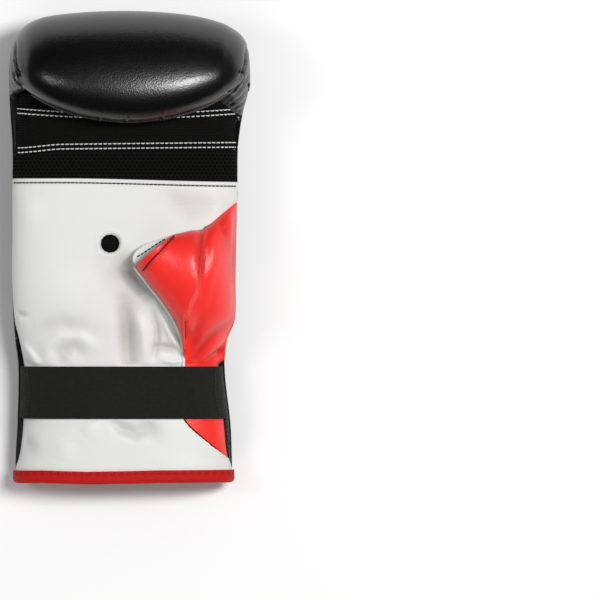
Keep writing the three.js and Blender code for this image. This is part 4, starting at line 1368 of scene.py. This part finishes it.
# %% Padded back
def make_pad():
    lanes = spread_lanes(238)
    stations = pad_stations()
    outer = np.array([pad_outer(part, share, lanes) for part, share in stations])
    inner = np.array([pad_inner(part, share, lanes) for part, share in stations])
    sine = np.sin(lanes * QUARTER)
    curl = [{"curl": share, "nose": 1.0}.get(part, 0.0) for part, share in stations]
    nose = np.array([share if part == "nose" else 0.0 for part, share in stations])[:, None]
    turned, across = np.meshgrid(curl, sine, indexing="ij")
    normal = normals_of(outer[:, ::-1])[:, ::-1]
    tuck = np.zeros(across.shape)
    at_edge = bump_at(nose - 0.52, 0.1)
    for x, high in TUCKS:
        tuck += high * bump_at(outer[..., 0] - x, 0.8) * at_edge
        tuck -= 0.35 * high * bump_at(outer[..., 0] - x, 2.8) * at_edge
    wrinkle = drawn_in(outer[..., 0], outer[..., 1]) * (turned > 0.5) * (1 - np.abs(across) ** 80)
    wrinkle *= 1 - ease(nose * 2)
    outer = (outer + normal * (tuck + wrinkle - end_pleats(turned, across))[..., None])[:, ::-1]
    # The crease number paints shade into the roll's creases and wrinkles, and makes the puffs rubbed paler.
    crease = np.clip(wrinkle * 0.4, -0.9, 0.15)[:, ::-1]
    made = panel("padded_back", outer, inner[:, ::-1], [PRINTED_LEATHER, LINING], 0.5, crease)
    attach(made, "root")
    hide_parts("back_pad")
    print("pad, stations and lanes:", outer.shape[:2])


make_pad()

# %% [markdown]
# ## Piping under the roll
#
# A thin dark piping is caught in the seam along the roll's lower edge. It follows the pad's own surface a
# little before the end of the nose, so it is a tube along points that the pad's function gives.


# %% Piping
def make_edge_piping():
    path = pad_outer("nose", 0.56, np.linspace(-0.62, 0.62, 400))
    path[:, 1] -= 0.25
    made = cord("roll_piping", path, 0.75, [0.0, -1.0, 0.0], 10, PIPING)
    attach(made, "root")


make_edge_piping()

# %% [markdown]
# ## The roll's end gussets
#
# A small leather gusset closes each end of the roll. It comes out from under the roll's edge, bends down
# over the side and tapers away along the rim. The one on the thumb side reaches further and is wrinkled.
# Its inner edge is a curve through a few marks and its outer edge is the glove's own outline, so one
# function makes both.

# %% End gussets
# How far from the middle each gusset starts, at distances from the hem
THUMB_GUSSET = {
    "at": [209.5, 212.0, 215.0, 218.0, 221.0, 224.0, 228.0, 232.0, 236.0, 240.0, 247.0],
    "inner": [64.9, 63.2, 61.0, 58.0, 54.0, 51.0, 51.5, 55.0, 59.0, 62.5, 65.0],
}
OUTER_GUSSET = {
    "at": [218.0, 221.0, 224.0, 226.5, 228.5, 230.0, 233.0, 237.0, 241.0, 247.0],
    "inner": [-69.0, -68.0, -66.4, -64.0, -61.5, -58.0, -58.5, -61.0, -63.0, -65.0],
}
GUSSET_WALL = 1.6


def roll_height(x, y):
    """The height of the roll's outer face over a place in plan."""
    sine = np.clip(x / HALF_WIDTH, -1, 1)
    radius = CURL_RADIUS - CURL_SEAM * pad_drop(sine)
    return CURL_RADIUS + np.sqrt(np.maximum(radius**2 - np.maximum(0, y - CURL_CENTRE) ** 2, 0))


def outline_at(y, side):
    """Where the glove's outline is, on one side of it."""
    s = Section(y)
    sines = np.linspace(1, 0.5, 300)
    reach = CURL_CENTRE + CURL_RADIUS - CURL_SEAM * pad_drop(sines * side)
    beyond = HALF_WIDTH * np.interp(y, reach, sines)
    return np.where(y < reach[0], s.centre + side * s.half, side * beyond)


def make_gusset(name, table, side, joins):
    """A gusset that rests on the palm's arch at first and goes under the roll from where it joins."""
    y = np.linspace(table["at"][0], table["at"][-1], 140)[:, None]
    q = np.sin(np.linspace(0, 1, 72) * QUARTER)[None, :]
    start = y[0, 0]
    inner_x, outer_x = curve_through(table, "inner", y), outline_at(y, side) - 0.15 * side
    outer_x = outer_x - 0.5 * side * ease(1 - (y - start) / 5)
    inner_x = np.where(side * inner_x > side * outer_x - 0.6, outer_x - 0.6 * side, inner_x)
    x = mix(inner_x, outer_x, q)
    round_end = 2 * CURL_RADIUS - roll_height(side * HALF_WIDTH, y)
    low = np.where(y < CURL_CENTRE, Section(y).seam, round_end) - 0.5
    tucked = mix(8.0, 3.0, ease((y - 234) / 6))
    high = mix(dome_height(inner_x, y) + 0.6, roll_height(inner_x, y) - tucked, ease((y - joins) / 7))
    z = low + (high - low) * np.sqrt(1 - q**2) - 3 * ease((y - 239) / 6)
    outer = together(x, y, z)
    if side < 0:
        outer = outer[:, ::-1]
    wrinkle = drawn_in(outer[..., 0], outer[..., 1])
    wrinkle *= ease(np.abs(outer[..., 0] - outer_x) / 1.5) * ease((y - start) / 4)
    outer = outer + normals_of(outer) * wrinkle[..., None]
    # The crease number paints shade into the gusset's wrinkles.
    crease = np.clip(wrinkle * 0.5, -0.9, 0.1)
    wall = mix(0.4, GUSSET_WALL, ease((y - start) / 6))
    made = panel(name, outer, inwards(outer, wall), [BLACK_LEATHER, LINING], 0.15, crease)
    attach(made, "root")
    print(name, "length along the glove in mm:", round(float(y[-1, 0] - start), 1))


make_gusset("thumb_side_gusset", THUMB_GUSSET, 1, 221.0)
make_gusset("outer_side_gusset", OUTER_GUSSET, -1, 225.0)

# %% [markdown]
# ## The side seams
#
# Palm and back are sewn together along both sides of the hand. A dark cord of bound leather lies in each
# seam and closes the slit between them. Two tubes do for it, sunk a little into the leather on both sides.

# %% Side seams
def side_seam(side, rings, sides):
    y = np.linspace(BINDING_DEPTH + 1.5, 190, rings)
    s = Section(y)
    across = s.centre + side * (np.minimum(s.half, s.palm_half) - 2.4)
    path = together(across, y + near_hem(across, y), s.seam + 1.2)
    return tube(path, 1.5, np.broadcast_to([1.0, 0.0, 0.0], path.shape), sides).reshape(-1, 3)


def make_side_seams():
    rings, sides = 420, 10
    left, right = side_seam(-1, rings, sides), side_seam(1, rings, sides)
    faces = net_faces(rings, sides, close_columns=True)
    both = np.concatenate([faces, faces + len(left)])
    made = piece("side_seams", np.concatenate([left, right]), both, [LINING])
    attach(made, "root")
    print("side seams, length in mm:", round(float(travelled(left[::sides])[-1])))


make_side_seams()

# %% [markdown]
# ## The back of the cuff
#
# The cuff's back is a lighter panel, with thin foam under the leather. It meets the pad in a deep seam,
# which is a pinch in the panel's own net, so that the leather bends into it and no gap opens.


# %% Cuff back
def make_cuff():
    rows, columns = 90, 170
    bound = 1 / 12
    i = np.linspace(0, 1, rows)
    start, covered = BINDING_WALL + GAP, BINDING_DEPTH + 2 * GAP
    above = mix(covered, CUFF_LENGTH, (i - bound) / (1 - bound))
    y = np.where(i <= bound, mix(start, covered, i / bound), above)[:, None]
    lanes = np.linspace(1, -1, columns)[None, :]
    s = Section(y)
    sine = np.sin(lanes * QUARTER)
    height = mix(BINDING_WALL + GAP, s.seam, dome_drop(sine, 3))
    outer = together(s.centre + s.half * sine, y, height)
    outer[..., 1] += near_hem(outer[..., 0], y)
    thickness = mix(2.6, 5.0, ease((i - bound) * 4))[:, None]
    inner = level_sides(inwards(outer, thickness, square=True), outer)
    pinch = 0.9 * bump_at(CUFF_LENGTH - y, 1.6) * (1 - np.abs(sine) ** 20)
    wave = 0.35 * np.sin(outer[..., 0] / 11 + y / 17) * ease((y - 10) / 8) * (1 - np.abs(sine) ** 6)
    placed = outer - normals_of(outer) * (pinch + np.maximum(wave, 0))[..., None]
    # The crease number paints shade into the deep seam's pinch.
    crease = -0.4 * pinch * np.ones(sine.shape)
    made = panel("cuff_leather", placed, inner, [BLACK_LEATHER, LINING], 0.4, crease)
    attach(made, "root")
    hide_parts("cuff_back")


make_cuff()

# %% [markdown]
# ## The wrist strap
#
# A wide elastic is stretched over the wrist from side to side, so it lies flat where the leather under
# it dips. Its face follows the palm's smooth arch and not the folds. Its ribs are real, because they show
# along the strap's ends, and the finer threads are bump.


# %% Wrist strap
def on_strap(sine, y):
    """Places on the strap's face, a little above the leather all the way."""
    s = Section(y)
    away = 2 * GAP + STRAP_WALL
    height = mix(s.crown + away, s.seam + GAP, dome_drop(sine, s.square))
    return together(s.centre + (s.palm_half + away) * sine, y, height)


def make_strap():
    rows, columns = 70, 260
    y = STRAP_START + STRAP_WIDTH * np.linspace(0, 1, rows)[:, None]
    sine = np.sin(np.linspace(-1, 1, columns)[None, :] * QUARTER)
    outer = on_strap(sine, y)
    travel = travelled_across(outer)
    ribs = 0.06 * np.cos(2 * math.pi * (y - STRAP_START) / ELASTIC_RIB)
    selvedge = 0.25 * (ease(1 - (y - STRAP_START) / 1.2) + ease(1 - (STRAP_END - y) / 1.2))
    placed = outer + normals_of(outer) * ((ribs - selvedge) * (1 - np.abs(sine) ** 30))[..., None]
    inner = level_sides(inwards(outer, STRAP_WALL, square=True), outer)
    made = panel("wrist_elastic", placed, inner, [ELASTIC], 0.2, uv=together(travel, y))
    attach(made, "root")
    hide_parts("wrist_strap")


make_strap()

# %% [markdown]
# ## The hem binding
#
# A red tape is folded over the cuff's raw edge all the way round and sewn through. The stitches pull
# small puckers into it. Its cross section is a U, swept round the cuff. The sweep is made point by point,
# because a bevelled curve couldn't be drawn in at each stitch.

# %% Hem binding
HEM_STITCH_LINE = 5.6
HEM_STITCH_PITCH = 4.6


def hem_point(turn, y):
    """A place round the cuff, from one whole turn to the next, at a distance from the hem."""
    s = Section(y)
    angle = turn * 2 * math.pi
    sine = np.cos(angle)
    far = np.where(np.sin(angle) >= 0, s.crown, BINDING_WALL + GAP)
    drop = dome_drop(sine, s.square)
    return together(s.centre + s.half * sine, y, mix(far, s.seam + GAP / 2, drop))


def hem_outwards(turns, y, step):
    """The way out of the cuff at each place round it."""
    ahead, behind = hem_point(turns + step, y), hem_point(turns - step, y)
    return unit(together(ahead[:, 2] - behind[:, 2], 0.0, behind[:, 0] - ahead[:, 0]))


def tape_profile():
    """The middle line of the folded tape in section, and its closed outline."""
    half = BINDING_WALL / 2
    outside, inside = GAP + half, -(2.6 + GAP + half)
    bend = (outside - inside) / 2
    straight = np.linspace(BINDING_DEPTH, bend + half, 8)
    turn = np.linspace(0, math.pi, 13)[1:-1]
    along = np.concatenate([straight, bend + half - bend * np.sin(turn), straight[::-1]])
    fold = (outside + inside) / 2 + bend * np.cos(turn)
    off = np.concatenate([0 * straight + outside, fold, 0 * straight + inside])
    path = together(along, off)
    way = unit(np.gradient(path, axis=0))
    side = together(way[:, 1], -way[:, 0]) * half
    return path, np.concatenate([path - side, (path + side)[::-1]])


def make_binding():
    steps = 420
    path, profile = tape_profile()
    turns = np.arange(steps) / steps
    outward = hem_outwards(turns, 0.0, 0.5 / steps)
    base = np.array([hem_point(turns, float(a)) for a in profile[:, 0]]).swapaxes(0, 1)
    travel = travelled(base[:, 0])
    pucker = 0.5 * np.abs(np.sin(math.pi * travel / HEM_STITCH_PITCH))[:, None] ** 0.7
    near_edge = bump_at(profile[:, 0] - HEM_STITCH_LINE, 1.2) * (profile[:, 1] > -1)
    pulled_in = (pucker - 0.5) * near_edge
    lift = profile[:, 1] + pulled_in
    points = base + outward[:, None, :] * lift[..., None]
    points[..., 1] = profile[:, 0] + hem_shift(base[..., 0])
    faces = net_faces(steps, len(profile), close_rows=True, close_columns=True)
    uv = together(travel[:, None], travelled(profile)[None, :]).reshape(-1, 2)
    # The crease number paints shade into the puckers at the stitches.
    crease = (pulled_in * 0.8).ravel()
    made = piece("hem_tape", points.reshape(-1, 3), faces[:, ::-1], [TAPE], crease=crease, uv=uv)
    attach(made, "root")
    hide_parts("hem_binding")


make_binding()

# %% [markdown]
# ## Stitches
#
# Each stitch is its own short tube, which comes up out of the leather, lies over it and goes down again.
# Rows of them follow the seams. A texture of dashes would stay flat when the light moves across it.


# %% Rows of stitches
# From stitch to stitch, the length of one, and the radius of its thread, in mm
PALE_STITCH = (2.7, 2.2, 0.36)
PALM_STITCH = (2.4, 2.3, 0.42)
THUMB_STITCH = (2.2, 2.0, 0.42)
SEAM_STITCH = (2.4, 1.9, 0.3)
HEM_STITCH = (HEM_STITCH_PITCH, 2.6, 0.42)
STITCH_RINGS = 7
STITCH_SIDES = 6
UP = np.array([0.0, 0.0, 1.0])


def stitch_row(path, normal, pitch, length, radius):
    """The points and faces of a row of stitches along a path on the surface."""
    travel = travelled(path)
    count = max(1, int(travel[-1] / pitch))
    middle = (np.arange(count) + 0.5) * travel[-1] / count
    steps = np.linspace(-1, 1, STITCH_RINGS)
    at = middle[:, None] + steps[None, :] * length / 2
    place = together(*[np.interp(at, travel, path[:, k]) for k in range(3)])
    up = unit(together(*[np.interp(at, travel, normal[:, k]) for k in range(3)]))
    lift = radius * (0.75 - 2.6 * np.abs(steps) ** 3)
    rings = tube(place + up * lift[:, None], radius * (1 - 0.25 * np.abs(steps) ** 4), up, STITCH_SIDES)
    each = STITCH_RINGS * STITCH_SIDES
    one = net_faces(STITCH_RINGS, STITCH_SIDES, close_columns=True)
    return rings.reshape(-1, 3), np.concatenate([one + k * each for k in range(count)])


def sewn(name, rows, finish):
    """One piece from many rows of stitches."""
    faces, start = [], 0
    for row_points, row_faces in rows:
        faces.append(row_faces + start)
        start += len(row_points)
    made = piece(name, np.concatenate([row[0] for row in rows]), np.concatenate(faces), [finish])
    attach(made, "root")


def on_height(height, x, y, lift):
    """Points and normals on a surface that is given as a height over x and y."""
    z = height(x, y)
    step = 0.2
    slope_x = (height(x + step, y) - height(x - step, y)) / (2 * step)
    slope_y = (height(x, y + step) - height(x, y - step)) / (2 * step)
    normal = unit(together(-slope_x, -slope_y, 1.0))
    return together(x, y, z) + normal * lift, normal


# %% Stitch rows on the mesh
def mesh_rows():
    x = np.linspace(-65.0, 63.0, 260)
    lines = [(x, grip_line(x)), (x, grip_line(x) - 2.7)]
    for left, right in ((-65.0, -24.0), (24.0, 61.0)):
        part = np.linspace(left, right, 120)
        lines += [(part, tip_seam(part) - 1.3), (part, tip_seam(part) - 3.9)]
    return [stitch_row(*on_height(dome_height, x, y, 0.1), *PALE_STITCH) for x, y in lines]


sewn("mesh_stitches", mesh_rows(), WHITE_THREAD)

# %% [markdown]
# ## The thumb's welt
#
# A rolled white welt lies along the thumb's lower seam, from the tip to the strap. It is one soft tube, set
# a little outside the seam and never lower than the folded palm, so that it doesn't sink into a fold.


# %% Thumb welt
def make_thumb_welt():
    outs = np.linspace(1.0, 0.3, 300)
    seam = seam_place(CUFF_SEAM, outs)
    way = unit(np.gradient(seam, axis=0))
    plan = seam + together(way[:, 1], -way[:, 0]) * 0.7
    keep = plan[:, 1] > STRAP_END - 1
    plan, outs = plan[keep], outs[keep]
    over = GAP + THUMB_WALL * ease((outs - CROTCH) / 0.1)
    on_seam = dome_height(*plan.T) + thumb_lift(outs) + over
    path = np.column_stack([plan, np.maximum(on_seam, palm_height(*plan.T) + 0.2)])
    made = cord("thumb_welt", path, 0.95, UP, 12, WHITE_LEATHER)
    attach(made, "root")


make_thumb_welt()

# %% [markdown]
# ## Black, grey and red stitches
#
# Black thread closes the palm's top edge and the thumb's tip and holds the strap's ends. Grey rows lie
# beside the cuff seam on the back, and red ones run through the hem tape. Each row asks the surface that
# it lies on for its points, so it stays on the leather when a size above is changed.


# %% Black stitches
def thumb_tip_row():
    point, normal = thumb_under(np.full(80, 0.945), np.linspace(0.06, 0.94, 80))
    return stitch_row(point + normal * 0.05, normal, *THUMB_STITCH)


def lip_row():
    """The row on the lining's lip, past the thumb's open tip."""
    plan = lip_place(np.full(60, 1.045), np.linspace(0.14, 0.86, 60))
    height = dome_height(*plan.T) + GAP + THUMB_WALL + THUMB_TIP_LIFT + 0.1
    lip = np.column_stack([plan, height])
    return stitch_row(lip, np.broadcast_to(UP, lip.shape), *THUMB_STITCH)


def palm_row():
    x = np.linspace(-67.5, 61.8, 240)
    return stitch_row(*on_height(palm_height, x, palm_top(x) - 2.3, -0.25), *PALM_STITCH)


def strap_row(side):
    """A short row where the elastic is sewn down at one of its ends."""
    y = np.linspace(STRAP_START + 1, STRAP_END - 1, 60)
    bow = 0.02 * np.sin(np.linspace(0, math.pi, 60))
    path = on_strap(side * 0.93 - side * bow, y)
    normal = np.broadcast_to([side * 0.6, 0.0, 0.8], path.shape)
    return stitch_row(path + normal * 0.1, normal, *SEAM_STITCH)


black_rows = [palm_row(), thumb_tip_row(), lip_row(), strap_row(-1), strap_row(1)]
sewn("black_stitches", black_rows, BLACK_THREAD)


# %% Stitches along the cuff seam
def cuff_row(back_from_seam):
    sine = np.sin(np.linspace(-0.97, 0.97, 400) * QUARTER)
    y = np.full(400, CUFF_LENGTH - back_from_seam)
    s = Section(y)
    height = mix(BINDING_WALL + GAP, s.seam, dome_drop(sine, 3))
    path = together(s.centre + s.half * sine, y, height)
    normal = unit(together(height[2:] - height[:-2], 0.0, path[:-2, 0] - path[2:, 0]))
    return stitch_row(path[1:-1] - normal * 0.15, normal, *SEAM_STITCH)


sewn("cuff_stitches", [cuff_row(2.6), cuff_row(4.4)], GREY_THREAD)


# %% Red stitches on the hem tape
def hem_row():
    turns = np.linspace(0, 1, 500)
    outward = hem_outwards(turns, HEM_STITCH_LINE, 0.001)
    base = hem_point(turns, HEM_STITCH_LINE)
    base[:, 1] += hem_shift(base[:, 0])
    return stitch_row(base + outward * (GAP + BINDING_WALL - 0.55), outward, *HEM_STITCH)


sewn("hem_stitches", [hem_row()], RED_THREAD)

# %% [markdown]
# ## Floor, light and camera
#
# The glove lies on a plain white floor. A softbox over the thumb side gives the long highlight on the
# roll, and a weaker one on the other side balances it. A third softbox, low at the hem, and the pale sky
# only fill the shadows: they are kept out of reflections, so the black leather stays black. The camera
# looks straight down from far away through a long lens, so the outline has hardly any perspective.


# %% Floor
def make_floor():
    reach, level = 9.0, -0.0005
    corners = [(-reach, -reach, level), (reach, -reach, level), (reach, reach, level), (-reach, reach, level)]
    mesh = bpy.data.meshes.new("floor")
    mesh.from_pydata(corners, [], [(0, 1, 2, 3)])
    made = bpy.data.objects.new("floor", mesh)
    bpy.context.scene.collection.objects.link(made)
    paint, tree, shader = new_material("floor paint")
    tone = noise(tree, object_place(tree), 3.0)
    painted = blend_colours(tree, tone, (*grey(0.93), 1), (*grey(0.9), 1))
    connect(tree, shader.inputs["Base Color"], painted)
    shader.inputs["Roughness"].default_value = 0.9
    mesh.materials.append(paint)
    print("floor, width in m:", 2 * reach)


make_floor()


# %% Lights
def softbox(name, place, size, power, shines=True):
    """A soft lamp that looks at the middle of the glove, with places and sizes in metres."""
    lamp = bpy.data.lights.new(name, "AREA")
    lamp.shape = "RECTANGLE"
    lamp.size, lamp.size_y = size
    lamp.energy = power
    made = bpy.data.objects.new(name, lamp)
    made.location = place
    made.visible_glossy = shines
    way = Vector((0.0, 0.0, 0.04)) - Vector(place)
    made.rotation_euler = way.to_track_quat("-Z", "Y").to_euler()
    bpy.context.scene.collection.objects.link(made)
    print(name, "watts:", power)


softbox("key softbox", (0.72, 0.32, 1.9), (0.35, 0.8), 33)
softbox("side softbox", (-1.0, 0.2, 1.7), (0.3, 0.5), 4.0)
softbox("low softbox", (-0.6, -2.2, 1.5), (1.6, 0.6), 9, shines=False)

world = bpy.data.worlds.new("studio")
bpy.context.scene.world = world
world.use_nodes = True
sky = world.node_tree.nodes["Background"]
sky.inputs["Color"].default_value = (1, 1, 1, 1)
sky.inputs["Strength"].default_value = 0.25
world.cycles_visibility.glossy = False
bpy.context.scene.view_settings.view_transform = "Standard"

# %% Camera
# The picture is this many mm wide at half the glove's height, and the glove stands at the left in it
FRAME_MM = 348.0
FRAME_LEVEL = 0.046
CAMERA_HEIGHT = 8.0
CAMERA_ASIDE = (0.0988, -0.0302)
lens = bpy.data.cameras.new("camera")
lens.sensor_width = 36.0
lens.lens = lens.sensor_width * (CAMERA_HEIGHT - FRAME_LEVEL) / (FRAME_MM * MM)
camera = bpy.data.objects.new("camera", lens)
camera.location = (*CAMERA_ASIDE, CAMERA_HEIGHT)
bpy.context.scene.collection.objects.link(camera)
bpy.context.scene.camera = camera
print("lens in mm:", round(lens.lens))
